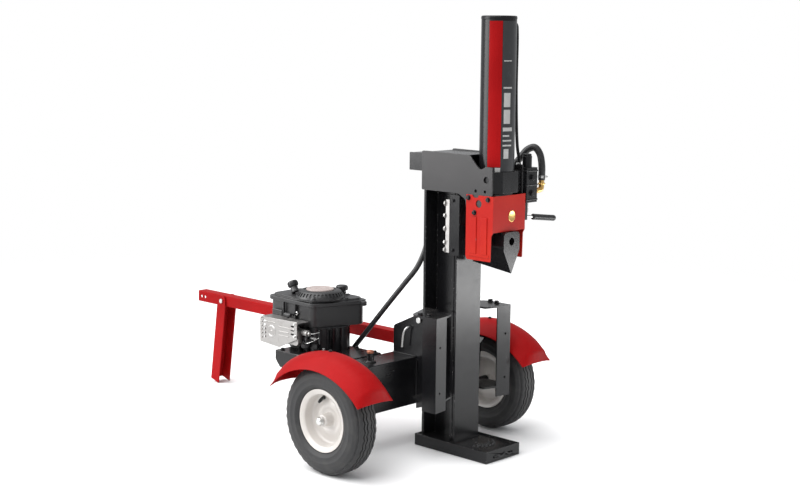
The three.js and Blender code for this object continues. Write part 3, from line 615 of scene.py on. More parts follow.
# %% The machine's finishes, one for each material slot
BLACK = tone(0.010, 0.010, 0.011)
DEEP_BLACK = tone(0.006, 0.006, 0.007)
PLAIN = (1, 1, 1)
FINISH = {
    "black_paint": enamel("black enamel", BLACK, DEEP_BLACK, 0.22, 0.5, 0.25, 0.03, 0.0, 0.3),
    "black_trim": enamel("black satin", BLACK, DEEP_BLACK, 0.28, 0.4, 0.25, 0.03, 0.0, 0.26),
    "grey_sheen": enamel(
        "dark grey enamel", tone(0.020, 0.018, 0.019), tone(0.014, 0.013, 0.014),
        0.32, 0.6, 0.25, 0.03, 0.0, 0.4,
    ),
    "red_paint": enamel(
        "red enamel", tone(0.36, 0.007, 0.008), tone(0.29, 0.005, 0.006),
        0.46, 0.25, 0.18, 0.01, 0.0, 0.05,
    ),
    "guard_red": enamel(
        "orange red enamel", tone(0.52, 0.026, 0.014), tone(0.44, 0.014, 0.010),
        0.38, 0.3, 0.2, 0.01, 0.0, 0.08,
    ),
    "rim_paint": enamel(
        "cream enamel", tone(0.60, 0.57, 0.54), tone(0.50, 0.47, 0.44),
        0.34, 0.3, 0.2, 0.1,
    ),
    "bare_steel": metal("worn bright steel", tone(0.40, 0.39, 0.38), tone(0.10, 0.09, 0.08), 0.42),
    "plated_steel": metal(
        "zinc plate", tone(0.62, 0.62, 0.61), tone(0.34, 0.33, 0.30), 0.28, (1, 1, 1),
        0.12, 0.4,
    ),
    "muffler_steel": metal(
        "pressed bright sheet", tone(0.36, 0.35, 0.34), tone(0.22, 0.20, 0.19), 0.40, (1, 12, 1),
        0.1, 0.35,
    ),
    "tyre_rubber": rubber(
        "tyre rubber", tone(0.014, 0.014, 0.015), tone(0.040, 0.039, 0.037),
        0.62, 0.5,
    ),
    "hose_rubber": rubber(
        "hose cover", tone(0.012, 0.012, 0.013), tone(0.030, 0.030, 0.030),
        0.42, 0.3, 0.3,
    ),
    "engine_cast": cast(
        "black casting", tone(0.030, 0.030, 0.032), tone(0.016, 0.016, 0.017),
        0.34,
    ),
    "shroud_plastic": plastic(
        "shroud plastic", tone(0.020, 0.020, 0.021), tone(0.05, 0.05, 0.05),
        0.40,
    ),
    "small_plastic": plastic(
        "knob plastic", tone(0.011, 0.011, 0.012), tone(0.05, 0.05, 0.05),
        0.33, 0.12, 900.0,
    ),
    "disc_paint": plastic(
        "starter disc", tone(0.396, 0.330, 0.310), tone(0.475, 0.409, 0.383),
        0.38, 0.1,
    ),
    "brass": metal(
        "brass", tone(0.62, 0.40, 0.14), tone(0.28, 0.17, 0.06), 0.26, (1, 1, 1),
        0.08, 0.5,
    ),
    "cap_copper": cast(
        "dull copper", tone(0.42, 0.16, 0.10), tone(0.28, 0.10, 0.06),
        0.42, 0.6, 0.2,
    ),
    "panel_vinyl": sticker("dark vinyl", tone(0.022, 0.023, 0.025), 0.30),
    "pale_vinyl": sticker("pale vinyl", tone(0.42, 0.42, 0.41), 0.34),
    "iron_grey": cast(
        "grey iron", tone(0.10, 0.10, 0.105), tone(0.06, 0.06, 0.062),
        0.55, 0.3, 0.8,
    ),
}
print("finishes", len(FINISH))


def coat(piece, finish):
    piece.data.materials.clear()
    piece.data.materials.append(FINISH[finish])
    return piece


# %% [markdown]
# ## How a piece joins the machine
# Every piece rides on a body, so that it moves with it. `adopt` lets a finished piece stand
# for its CAD node and takes body and material slot from it. `attach` is for small pieces
# that the CAD model leaves out.

# %% Joining pieces to bodies
def adopt(piece, *names):
    """The piece stands for CAD nodes, and takes the first one's body and material slot."""
    node = nodes[names[0]]
    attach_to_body(piece, node["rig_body"])
    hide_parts(*names)
    return coat(piece, slot_of_node[names[0]])


def attach(piece, body, slot, finish=None):
    """A small piece that the CAD model leaves out rides on a body too."""
    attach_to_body(piece, body)
    return coat(piece, finish or slot)


# %% [markdown]
# ## Hoses
# Two hydraulic hoses join the pump and the tank on the frame to the valve on the beam. They
# are stiff, so each one leaves its fitting straight and then takes one easy curve.

# %% Hoses
HOSES = {
    "return_hose": (14.0, 96, [
        (318, 360, 1062.3), (318, 360, 1118), (304, 362, 1165), (284, 355, 1187),
        (260, 343, 1178), (236, 332, 1148), (212, 322, 1112), (180, 308, 1050),
        (120, 292, 960), (40, 274, 860), (-24, 258, 760), (-52, 250, 640), (-66, 252, 540),
        (-86, 258, 460), (-108, 262, 410), (-108, 262, 379.8),
    ], (0, 258, 440), (0, 258, 700)),
    "pressure_hose": (10.5, 110, [
        (-426, -55.6, 268), (-426, -28, 268), (-408, 6, 284), (-352, 6, 350),
        (-284, 16, 430), (-200, 34, 535), (-116, 53, 638), (-64, 66, 704), (-44, 84, 762),
        (-40, 110, 830), (-42, 156, 890), (-44, 206, 930), (-16, 240, 960), (60, 250, 985),
        (150, 256, 1012), (215, 264, 1044), (246, 268, 1066), (265.6, 268, 1066),
    ], (-300, 10, 400), (-60, 70, 690)),
}

for name, (radius, steps, points, low_end, high_end) in HOSES.items():
    route = smooth_route(points, steps)
    hose = pipe(f"{name}_cover", route, radius, 20)
    at(*low_end)
    at(*high_end)
    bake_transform(hose)
    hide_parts(name)
    coat(hose, "hose_rubber")
    at(*points[0])
    [at(*spot) for spot in route]
    print(name, "length", round(length_of(route), 3), "m")

# %% [markdown]
# ## Plates, bars and castings
# Most of the machine is cut plate and tube whose shape is already right. Each CAD node is
# copied, cleaned and given rounded edges of the radius that its process leaves: laser cut
# plate is nearly sharp, a folded sheet is rounder and a casting is rounder still.

# %% Rounded copies of the flat work
EDGE_WIDTH = {
    "reservoir_tank": 2.0, "axle_near": 1.5, "axle_far": 1.5, "ear_plate_near": 0.9,
    "ear_plate_far": 0.9, "pivot_bolt": 1.0, "tongue": 1.0, "jack_bolt": 1.0,
    "jack_stand": 1.2, "engine_platform": 2.0, "beam": 1.2, "foot_plate": 1.6,
    "bracket_plate_near": 1.0, "bracket_plate_far": 1.0, "bracket_top_plate": 1.2,
    "transport_rest": 1.6, "cylinder_collar": 2.0, "control_valve": 2.2, "cradle_near": 0.9,
    "cradle_far": 0.9, "wedge_guard": 0.9, "wedge_carriage": 1.2, "gib_plate_near": 1.2,
    "gib_plate_far": 1.2, "wedge_blade": 1.0, "crankcase": 3.0, "engine_shroud": 3.5,
    "muffler": 5.0, "muffler_guard": 0.8, "air_cleaner": 4.0, "hydraulic_pump": 2.5,
    "drive_coupling": 1.0, "starter_grip": 2.0,
}
finished = {}
for node, width in EDGE_WIDTH.items():
    finished[node] = adopt(soften(from_frame(node), width), node)
for node in ("transport_rest", "cradle_near", "cradle_far"):
    coat(finished[node], "black_paint")
print("rounded", len(finished))

# %% [markdown]
# ## Tyres
# A small trailer tyre is moulded: four grooves run round the tread in a zigzag, and thin
# rings stand on the sidewall. The section is spun in many steps, then the tread's edges are
# pushed sideways in a rhythm of four steps, which turns straight grooves into zigzags.

# %% Tyres
TREAD_STEPS = 160
HALF_TYRE = [
    (206, 0), (206, 7.5), (199.5, 8.5), (199.5, 11.5), (205.6, 12.5), (205.2, 21.5),
    (198.5, 22.5), (198.5, 25.5), (204.4, 26.5), (202.5, 35), (199.4, 41), (194, 42.5),
    (193.5, 46), (192, 48.6), (187, 51), (181, 53.4), (179, 55.2), (172, 56.8), (163, 57.7),
    (160, 59.0), (157, 59.2), (154, 58.0), (147, 57.9), (139, 57.0), (137, 57.6), (134.5, 57.2),
    (132.5, 55.4), (126, 51.5), (122, 48), (119.6, 45), (119.2, 41.5), (112, 39), (104.2, 37),
]


def beat_of(vertex):
    """Which of the four steps of the tread's rhythm a point is on."""
    heading = math.atan2(vertex.co.y, vertex.co.x)
    return round(heading / (2 * math.pi / TREAD_STEPS)) % TREAD_STEPS % 4


def radius_of(vertex):
    return math.hypot(vertex.co.x, vertex.co.y) / MM


outline = [(r, -h) for r, h in reversed(HALF_TYRE[1:])] + HALF_TYRE
tyre = spun("tyre", outline, TREAD_STEPS, closed=True)
edit(tyre, "VERT")
for beat, push in ((1, 3.0), (3, -3.0)):
    bpy.ops.mesh.select_all(action="DESELECT")

    def on_tread(vertex, turn=beat):
        return radius_of(vertex) > 197 and abs(vertex.co.z) < 30 * MM and beat_of(vertex) == turn

    pick(tyre, on_tread, "verts")
    bpy.ops.transform.translate(value=(0, 0, push * MM))
bpy.ops.mesh.select_all(action="DESELECT")


def on_shoulder(vertex):
    outside = 191 < radius_of(vertex) < 200 and 40 < abs(vertex.co.z) / MM < 50
    return outside and beat_of(vertex) < 2


nicked = pick(tyre, on_shoulder, "verts")
bpy.ops.transform.shrink_fatten(value=-1.6 * MM)
bpy.ops.object.mode_set(mode="OBJECT")
WHEELS = {"near": -457.0, "far": 457.0}
WHEEL_HEIGHT = 206.0
for side, track in WHEELS.items():
    copy = again(tyre, f"tyre_{side}_moulded")
    place(copy, (0, track, WHEEL_HEIGHT), "Y", flip=track < 0)
    adopt(done(copy, 40), f"tyre_{side}")
drop(tyre)
print("tyre faces", len(copy.data.polygons), "notched points", nicked)

# %% [markdown]
# ## Rims, hubs and valve stems
# The rim is one spinning: two half dishes pressed from sheet and welded, with a bushed hub
# through the middle. Its outline steps down from the bright lip to the web and rises to a
# cup round the hub. A rubber valve stem sticks out of the web.

# %% Rims
RIM_OUTLINE = [
    (11, -34), (21, -34), (21, -12), (40, -10.5), (80, -13), (88, -17), (94, -40), (98, -43),
    (112, -46.5), (117, -48), (118.3, -47), (118, -45), (110, -42), (105, -39), (103.6, -36),
    (103.6, 36), (105, 39), (110, 42), (118, 45), (118.3, 47), (117, 48), (112, 46.8),
    (101, 42.5), (98, 40), (96.6, 36), (95, 10), (92.5, 4.5), (88, 1.5), (83, 1.0), (66, 3.6),
    (62, 6.2), (52, 8.5), (45, 8), (40, 5), (33, 4), (27, 6), (24.5, 10), (24, 36), (22.5, 41),
    (19.5, 43.5), (11, 44),
]
rim = spun("rim", RIM_OUTLINE, 96, closed=True)
CAP_OUTLINE = [
    (10.2, 46), (15, 46), (15, 49), (16.5, 50), (16.8, 52), (15.6, 53.2), (15, 57), (13.5, 61),
    (10.5, 63.4), (6, 64.3), (0, 64.5), (0, 60), (10.2, 60),
]
hub_cap = spun("hub_cap", CAP_OUTLINE, 48, closed=True)
for side, track in WHEELS.items():
    flip = track < 0
    dish = place(again(rim, f"rim_{side}_pressed"), (0, track, WHEEL_HEIGHT), "Y", flip)
    adopt(done(dish, 38), f"rim_{side}")
    cap = place(again(hub_cap, f"hub_cap_{side}"), (0, track, WHEEL_HEIGHT), "Y", flip)
    adopt(done(cap, 38), f"axle_nut_{side}")
    out = -1 if flip else 1
    stem_line = [
        (-33, track + out, 281), (-31, track + out * 12, 280), (-25, track + out * 30, 274),
    ]
    bend = smooth_route(stem_line, 12)
    stem = pipe(f"stem_{side}", bend, 6.6, 16, lambda k: 1.25 if k < 3 else 0.95)
    tip = pipe(f"stem_tip_{side}", [stem_line[-1], (-22.5, track + out * 37, 271.5)], 5.2, 12)
    attach(joined(f"valve_stem_{side}", [stem, tip]), f"wheel_{side}", "small_plastic")
drop(rim, hub_cap)
print("rim faces", len(dish.data.polygons))

# %% [markdown]
# ## Fenders
# A fender is one pressing, crowned across the tyre. The CAD sheet has the right sweep in
# flat facets, so a copy is turned into quads and subdivided, which rounds the crown and
# keeps the thin edge. A dark carriage bolt holds each one to its strap.

# %% Fenders
fender_bolt = bolt_head("fender_bolt", 11, 3.5)
for side, track in WHEELS.items():
    sheet = from_frame(f"fender_{side}")
    edit(sheet, whole=True)
    bpy.ops.mesh.quads_convert_to_tris()
    wide = math.radians(60)
    bpy.ops.mesh.tris_convert_to_quads(face_threshold=wide, shape_threshold=wide)
    bpy.ops.mesh.select_all(action="DESELECT")
    rims = pick(sheet, lambda e: len(e.link_faces) == 2 and e.calc_face_angle(0) > 0.5, "edges")
    bpy.ops.transform.edge_crease(value=0.85)
    bpy.ops.object.mode_set(mode="OBJECT")
    modify(sheet, "SUBSURF", levels=2, render_levels=2)
    adopt(done(sheet, 50), f"fender_{side}")
    inner = math.copysign(6, track)
    heads = bolts(f"fender_bolts_{side}", fender_bolt, [((-8, track - inner, 458.3), (0, 0, 1))])
    attach(heads, "frame", "black_trim")
drop(fender_bolt)
print("fender edges kept sharp", rims)

# %% [markdown]
# ## Cylinder
# The barrel is honed tube with a welded cap and a gland in its foot. It is black enamel
# with a broad red band and a dark panel, both of thin vinyl wrapped part of the way round.
# The panel stays blank here. A wrap is an upright edge spun through part of a turn.

# %% Wraps on the barrel
CYL_X = 281.0
CYL_FOOT = 1024.0
CYL_AXIS = (CYL_X, BEAM_Y, 0)


def wrap(name, radius, bottom, top, start, end, thick=0.25):
    """A thin sheet round an upright axis, from one heading to another in degrees."""
    piece = one_point(name, Vector((radius * MM, 0, bottom * MM)))
    rise = (top - bottom) * MM
    bpy.ops.mesh.extrude_region_move(TRANSFORM_OT_translate={"value": (0, 0, rise)})
    bpy.ops.mesh.select_all(action="SELECT")
    steps = max(4, round(abs(end - start) / 2))
    bpy.ops.mesh.spin(
        steps=steps, angle=math.radians(end - start), center=(0, 0, 0), axis=(0, 0, -1),
    )
    bpy.ops.object.mode_set(mode="OBJECT")
    modify(piece, "SOLIDIFY", thickness=thick * MM, offset=1.0)
    piece.data.transform(Matrix.Rotation(math.radians(start), 4, "Z"))
    edit(piece, whole=True)
    bpy.ops.mesh.normals_make_consistent(inside=False)
    bpy.ops.object.mode_set(mode="OBJECT")
    return done(place(piece, CYL_AXIS), 30)


BARREL = [
    (57, CYL_FOOT), (66, CYL_FOOT), (66.5, CYL_FOOT + 0.5), (66.5, 1190), (66.5, 1672),
    (66, 1674), (57, 1674),
]
adopt(turned("cylinder_barrel_honed", BARREL, 96, CYL_AXIS, closed=True), "cylinder_barrel")
red_band = wrap("cylinder_red_band", 66.6, 1128, 1668, -82, -38)
attach(red_band, "beam", "red_paint")
dark_panel = wrap("cylinder_dark_panel", 66.6, 1112, 1668, -37, 36)
attach(dark_panel, "beam", "black_trim", "panel_vinyl")
PATCHES = [
    (1290, 1342, -30, -6), (1352, 1404, -30, -6), (1262, 1276, -32, 4), (1160, 1196, -28, -10),
    (1206, 1212, -32, 2), (1224, 1230, -32, 2), (1242, 1248, -32, -8), (1420, 1426, -32, 0),
    (1520, 1524, -32, -2), (1111, 1126, -56, -38),
]
patches = [
    wrap(f"patch_{k}", 66.9, low, high, start, end, 0.15)
    for k, (low, high, start, end) in enumerate(PATCHES)
]
attach(joined("cylinder_blank_patches", patches), "beam", "rim_paint", "pale_vinyl")
print("band", round(red_band.dimensions.z, 3), "m tall")

# %% Cap, gland and piston rod
CAP = [
    (0, 1674.3), (66, 1674.3), (67.3, 1675.2), (67.5, 1677), (67.5, 1682), (66.8, 1685),
    (64.5, 1687.2), (60, 1688), (48, 1688), (46, 1686), (0, 1686),
]
adopt(turned("cylinder_cap_welded", CAP, 96, CYL_AXIS, angle=28), "cylinder_cap")
GLAND = [
    (25.9, 977), (27.5, 976.2), (56, 976.2), (59, 977.5), (60, 980), (60, 1008), (58.5, 1010),
    (58.5, 1014), (60, 1016), (60, 1023.5), (56.7, 1023.7), (56.7, 1044), (25.9, 1044),
]
gland = turned("cylinder_gland_turned", GLAND, 72, CYL_AXIS, angle=28, closed=True)
adopt(gland, "cylinder_gland")
ROD = [
    (0, 886.2), (24.4, 886.2), (25.4, 887.2), (25.4, 1654), (56, 1654), (56.4, 1654.6),
    (56.4, 1661), (54, 1661.6), (54, 1666), (56.4, 1666.6), (56.4, 1673), (55.8, 1673.4),
    (0, 1673.4),
]
adopt(turned("piston_rod_polished", ROD, 72, CYL_AXIS, angle=28), "piston_rod")

# %% Steel tube down the side, with its two nuts
TUBE_LINE = [
    (281, 201.5, 1664), (281, 221.5, 1664), (281, 235.5, 1654), (281, 239.5, 1630),
    (282, 239.5, 1400), (287, 245.5, 1200), (291, 251.5, 1150), (291, 251.5, 1118.3),
]
bent = pipe("hydraulic_tube_bent", smooth_route(TUBE_LINE, 64), 6.0, 16)
adopt(bent, "hydraulic_tube")
upper_nut = bolt_head("upper_nut", 17, 12, 1.0)
lower = again(upper_nut, "lower_nut", Matrix.Translation(at(291, 251.5, 1119)))
upper = again(upper_nut, "side_nut", Matrix.Translation(at(281, 200.6, 1664)) @ AXIS_TURN["Y"])
attach(joined("tube_nuts", [lower, upper]), "beam", "plated_steel")
drop(upper_nut)

# %% [markdown]
# ## Valve, lever and fittings
# The control valve is a black casting with a turret for its relief spring and a boss for
# each port. The lever is a plated rod with a moulded grip, ribbed so that it doesn't slip.
# The return port has a brass elbow, and a band clamp holds the hose on it.

# %% Valve trim
VALVE_X = 318.0
VALVE_Y = 262.0
SPOOL_AXIS = (VALVE_X + 6, VALVE_Y, 0)
turret = [
    (0, 1155), (18.5, 1155), (18.5, 1160.5), (16.5, 1162), (16.5, 1168), (14.5, 1170), (0, 1170),
]
cap_nut = turned("relief_cap", turret, 40, SPOOL_AXIS, angle=28)
port_plug = bolt_head("port_plug", 19, 7, 1.5)
plugs = bolts("port_plugs", port_plug, [
    ((VALVE_X - 10, VALVE_Y - 8, 1118.2), (0, 0, 1)),
    ((VALVE_X + 30.2, VALVE_Y + 2, 1080), (1, 0, 0)),
    ((VALVE_X + 30.2, VALVE_Y + 2, 1020), (1, 0, 0)),
    ((VALVE_X, VALVE_Y + 34.3, 1090), (0, 1, 0)),
])
attach(joined("valve_plugs", [cap_nut, plugs]), "beam", "black_trim")
drop(port_plug)
ribs = []
for k, z in enumerate((992, 1048, 1102)):
    low, high = (VALVE_X - 30, VALVE_Y - 33, z), (VALVE_X + 32.5, VALVE_Y + 36.5, z + 7)
    ribs.append(block(f"valve_rib_{k}", low, high, 2.4))
attach(joined("valve_ribs", ribs), "beam", "black_trim")

SPOOL = [
    (0, 944), (7.2, 944), (8, 945), (8, 960), (6, 961), (6, 966), (8, 967), (8, 1086), (0, 1086),
]
adopt(turned("valve_spool_ground", SPOOL, 32, SPOOL_AXIS, angle=28), "valve_spool")

# %% Lever and grip
LEVER = (324.0, 240.0, 932.0)
LEVER_DIP = 0.12
lever_x, lever_y, lever_z = LEVER
lever_line = [(lever_x, lever_y + y, lever_z - y * LEVER_DIP) for y in (0, 20, 40, 60)]
rod = pipe("rod", lever_line, 5.5, 20)
EYE = [(3.5, -7), (8.5, -7), (9, -6.5), (9, 6.5), (8.5, 7), (3.5, 7)]
eye = turned("eye", EYE, 32, LEVER, "X", 32, closed=True)
adopt(done(joined("lever_rod_plated", [rod, eye]), 35), "lever_rod")
GRIP = [(0, 60.8), (8.6, 60.8), (10, 62), (12, 66)]
for ring in range(14):
    start = 72 + ring * 8
    GRIP += [(11.6, start), (10.7, start + 1.5), (10.7, start + 3.5), (11.6, start + 5)]
GRIP += [(12, 190), (11.4, 195), (9, 199), (5, 201.4), (0, 202)]
grip = spun("lever_grip_moulded", GRIP, 36)
lean = Matrix.Rotation(-LEVER_DIP, 4, "X") @ AXIS_TURN["Y"]
grip.data.transform(Matrix.Translation(at(*LEVER)) @ lean)
adopt(done(grip, 40), "lever_grip")

# %% Brass elbow, clamps and ferrules
ELBOW_Y = VALVE_Y + 98
elbow_line = smooth_route(
    [(VALVE_X, VALVE_Y + 50, 1024), (VALVE_X, ELBOW_Y - 22, 1024), (VALVE_X, ELBOW_Y - 4, 1028),
     (VALVE_X, ELBOW_Y, 1042), (VALVE_X, ELBOW_Y, 1062)], 28)
body = pipe("elbow_body", elbow_line, 11, 24)
hexagon = place(bolt_head("elbow_hex", 24, 12, 1.5), (VALVE_X, VALVE_Y + 48.6, 1024), "Y")
SHOULDER = [(0, 0), (14, 0), (14.5, 1), (14.5, 5), (13.5, 6.5), (0, 6.5)]
shoulder = turned("elbow_collar", SHOULDER, 36, (VALVE_X, ELBOW_Y, 1045))
adopt(joined("brass_elbow_cast", [body, hexagon, shoulder]), "brass_elbow")

FITTING = [
    (0, 352.6), (17, 352.6), (18, 353.6), (18, 361), (16.5, 362.3), (12.4, 362.3), (12.4, 366),
    (11.4, 367), (12.2, 370), (11.4, 371), (12.2, 374), (11.4, 375), (11.8, 379), (0, 379),
]
adopt(turned("return_fitting_turned", FITTING, 40, (-108, 262, 0)), "return_fitting")


def band_clamp(name, centre, radius):
    """A worm-drive clamp: a thin band and a screw housing beside it."""
    line = [(radius, 0), (radius + 0.9, 0.3), (radius + 0.9, 10.7), (radius, 11)]
    band = turned(name + "_band", line, 48, centre, closed=True)
    x, y, z = centre
    low, high = (x + radius - 1, y - 6, z + 1), (x + radius + 8, y + 6, z + 10)
    box = block(name + "_box", low, high, 1.2)
    screw = place(bolt_head(name + "_screw", 7, 5, 0.6), (x + radius + 4, y + 6, z + 5.5), "Y")
    return joined(name, [band, box, screw])


attach(band_clamp("clamp_valve", (VALVE_X, ELBOW_Y, 1070), 14.2), "beam", "plated_steel")
attach(band_clamp("clamp_tank", (-108, 262, 385), 14.2), "frame", "plated_steel")
FERRULE = [
    (0, 0), (12.5, 0), (13.4, 1.2), (13.4, 9), (12.4, 10), (12.4, 12), (13.4, 13), (13.4, 24),
    (12, 28), (0, 28),
]
crimp = done(spun("ferrule", FERRULE, 40), 30)
at_pump = place(again(crimp, "ferrule_pump"), (-426, -55.4, 268), "Y")
backward = Matrix.Rotation(math.pi, 4, "Z") @ AXIS_TURN["X"]
at_valve = again(crimp, "ferrule_valve", Matrix.Translation(at(265.4, 268, 1066)) @ backward)
attach(at_pump, "frame", "plated_steel")
attach(at_valve, "beam", "plated_steel")
drop(crimp)
print("fittings done")

# %% [markdown]
# ## Engine
# The engine is an upright-shaft one under a moulded shroud. On top sit the recoil starter
# with a ring of cooling slots, the fuel cap, the oil filler and a primer. The slots are cut
# by insetting pairs of faces on the slanted ring and pushing them in.

# %% Recoil starter
ENGINE_X = -432.0
ENGINE_Y = -112.0
SHROUD_TOP = 560.0
HOUSING = [
    (0, 0.4), (99, 0.4), (99, 4), (98.4, 6), (97.6, 8), (97, 10.5), (95, 15), (86, 26),
    (83, 28.5), (78, 30.8), (72, 32.4), (67, 33), (65, 32.2), (64.4, 30), (0, 30),
]
SLOT_STEPS = 108
housing = spun("recoil_housing_slotted", HOUSING, SLOT_STEPS)
edit(housing)
STEP_TURN = 2 * math.pi / SLOT_STEPS
for slot in range(SLOT_STEPS // 3):
    bpy.ops.mesh.select_all(action="DESELECT")

    def on_slant(face, start=slot * 3 * STEP_TURN):
        middle = face.calc_center_median()
        heading = (math.atan2(middle.y, middle.x) - start) % (2 * math.pi)
        slanted = 86 < math.hypot(middle.x, middle.y) / MM < 97
        return slanted and heading < 2 * STEP_TURN

    pick(housing, on_slant)
    bpy.ops.mesh.inset(thickness=0.9 * MM)
    bpy.ops.mesh.extrude_region_shrink_fatten(TRANSFORM_OT_shrink_fatten={"value": -4.0 * MM})
bpy.ops.object.mode_set(mode="OBJECT")
place(housing, (ENGINE_X, ENGINE_Y, SHROUD_TOP))
adopt(done(housing, 34), "recoil_housing")
DISC = [
    (0, 6.2), (7, 6.2), (8.5, 5), (10, 4.4), (13, 4.4), (15, 5.6), (34, 6.4), (36, 5.4),
    (39, 5.4), (41, 6.6), (50, 7.0), (53.6, 6.2), (56, 4.6), (56.8, 2), (56.8, 0), (0, 0),
]
disc = turned("recoil_disc_pressed", DISC, 96, (ENGINE_X, ENGINE_Y, SHROUD_TOP + 31))
adopt(disc, "recoil_disc")
print("slots", SLOT_STEPS // 3)


# %% Fuel cap, oil filler and primer
def knurled(name, outline, steps, low, high, depth):
    """A turned knob whose rim has raised ribs, one on every third step."""
    knob = spun(name, outline, steps)
    edit(knob)

    def on_rim(face):
        middle = face.calc_center_median()
        heading = math.atan2(middle.y, middle.x) % (2 * math.pi)
        step = math.floor(heading / (2 * math.pi / steps))
        upright = abs(face.normal.z) < 0.3 and math.hypot(middle.x, middle.y) / MM > depth * 4
        return upright and low < middle.z / MM < high and step % 3 == 0

    pick(knob, on_rim)
    bpy.ops.mesh.extrude_region_shrink_fatten(TRANSFORM_OT_shrink_fatten={"value": depth * MM})
    bpy.ops.object.mode_set(mode="OBJECT")
    return done(knob, 34)


FUEL_CAP = [
    (0, 0.4), (18.4, 0.4), (18.8, 3), (17.2, 5), (17.2, 11), (21, 12.5), (24, 13.5), (24, 27),
    (22.8, 30), (20, 32), (14, 33), (12, 31.6), (0, 31.6),
]
fuel = knurled("fuel_cap_moulded", FUEL_CAP, 72, 14, 26, 1.0)
adopt(place(fuel, (-440, 17, SHROUD_TOP)), "fuel_cap")
FILLER = [
    (0, 0), (17, 0), (17, 4), (15.6, 6), (15, 24), (19, 24.6), (20.6, 26), (21.4, 29), (21.4, 42),
    (20, 45.6), (17, 47.6), (9, 48), (8, 46.6), (0, 46.6),
]
filler = knurled("oil_fill_cap_moulded", FILLER, 60, 29.5, 41.5, 0.9)
lean = Matrix.Rotation(-0.5, 4, "Y")
filler.data.transform(Matrix.Translation(at(-556, -134, SHROUD_TOP + 7.3)) @ lean)
edit(filler, whole=True)
bpy.ops.mesh.bisect(
    plane_co=at(0, 0, SHROUD_TOP + 0.3), plane_no=(0, 0, 1), use_fill=True, clear_inner=True,
)
bpy.ops.object.mode_set(mode="OBJECT")
adopt(filler, "oil_fill_cap")
PRIMER = [
    (0, 0), (19, 0), (19, 3), (17.6, 4), (16, 4), (15.4, 8), (14.6, 9.6), (13, 10.2), (12, 12.6),
    (9, 15.4), (5, 16.8), (0, 17.2),
]
primer = knurled("primer_bulb", PRIMER, 48, 5, 8, 0.7)
attach(place(primer, (-388, -187, SHROUD_TOP)), "frame", "small_plastic")

# %% [markdown]
# The shroud itself is a deep moulding. Clips hold the lid, and the long side of the skirt
# carries a raised step, two upright ribs and a ledge between them. Screws with round heads
# hold it to the crankcase.

# %% Trim on the shroud
trim = [
    block("lid_clip_front", (-306, -14, 530), (-281, 6, 548), 2.2),
    block("lid_clip_back", (-655, -120, 530), (-664, -96, 548), 2.2),
    block("skirt_step", (-620, -199, 452), (-560, -206, 500), 3.0),
    block("skirt_rib_left", (-552, -198, 454), (-546, -209, 536), 2.0),
    block("skirt_rib_right", (-478, -200, 454), (-472, -212, 536), 2.0),
    block("skirt_ledge", (-540, -201, 486), (-486, -212, 492), 2.0),
]
attach(joined("shroud_trim", trim), "frame", "shroud_plastic")
pan_head = [(0, 0), (7, 0), (7.4, 0.6), (7, 2.4), (5, 4.2), (2, 4.8), (1.8, 3.6), (0, 3.6)]
screw = done(spun("lid_screw", pan_head, 28), 34)
SCREWS = [
    (-625, -168, 551.4), (-392, 6, 560.4), (-330, -60, 560.4), (-600, 8, 560.4),
    (-500, -186, 560.2),
]
attach(bolts("shroud_screws", screw, [(spot, UP) for spot in SCREWS]), "frame", "black_trim")
drop(screw)

# %% Crankcase trim: studs, columns, carburettor and governor wires
STUDS = [(-330, -160), (-352, -190), (-404, -204), (-452, -201), (-328, -58), (-532, -150)]
POST = [(0, 356), (9, 356), (9, 362), (6.5, 364), (6.5, 446), (8, 449), (0, 449)]
studs = [turned(f"stud_{k}", POST, 24, (x, y, 0), angle=34) for k, (x, y) in enumerate(STUDS)]
columns = []
for k, (x, y, size) in enumerate(((-343, -112, 30), (-350, -70, 34), (-372, -140, 24))):
    line = [(0, 357), (size, 357), (size, 450), (0, 450)]
    columns.append(turned(f"column_{k}", line, 32, (x, y, 0)))
attach(joined("crankcase_studs", studs + columns), "frame", "engine_cast", "black_paint")
feet = bolt_head("engine_foot_bolt", 13, 7, 1.5)
FEET = [(-340, -176), (-520, -182), (-520, -46), (-350, -46)]
foot_spots = [((x, y, 363), UP) for x, y in FEET]
attach(bolts("engine_foot_bolts", feet, foot_spots), "frame", "plated_steel")
drop(feet)
BOWL = [(0, 0), (9, 0), (16, 2), (18, 6), (18, 24), (20, 25), (20, 28), (0, 28)]
bowl = turned("carburettor_bowl", BOWL, 36, (-398, -222, 372))
THROAT = [(9, 0), (15, 0), (16, 2), (16, 40), (15, 42), (9, 42)]
throat = turned("carburettor_throat", THROAT, 36, (-420, -222, 412), "X", closed=True)
deck = block("carburettor_deck", (-416, -236, 398), (-380, -206, 408), 2.0)
attach(joined("carburettor", [bowl, throat, deck]), "frame", "iron_grey")
LINKS = {
    "link_upper": [(-388, -238, 436), (-372, -242, 441), (-348, -236, 438), (-326, -208, 444)],
    "link_lower": [(-392, -240, 402), (-370, -246, 398), (-350, -238, 405), (-334, -206, 420)],
}
wires = [pipe(name, smooth_route(points, 30), 1.2, 8) for name, points in LINKS.items()]
coil = [
    (-352 + 0.5 * k, -232 + 4.2 * math.cos(k * 0.9), 421 + 4.2 * math.sin(k * 0.9))
    for k in range(60)
]
wires.append(pipe("governor_spring", coil, 0.7, 8))
attach(joined("governor_links", wires), "frame", "plated_steel")
levers = [
    block("throttle_plate", (-396, -241, 388), (-386, -239, 446), 0.6),
    block("governor_arm", (-331, -212, 396), (-323, -209, 452), 0.8),
    block("control_bracket", (-378, -214, 372), (-340, -205, 392), 1.5),
]
attach(joined("throttle_levers", levers), "frame", "black_trim")

# %% [markdown]
# ## Muffler guard
# The guard is bright pressed sheet with louvres. A round swelling in its middle and two
# raised frames stiffen it. They are separate thin pressings here, laid on its face.

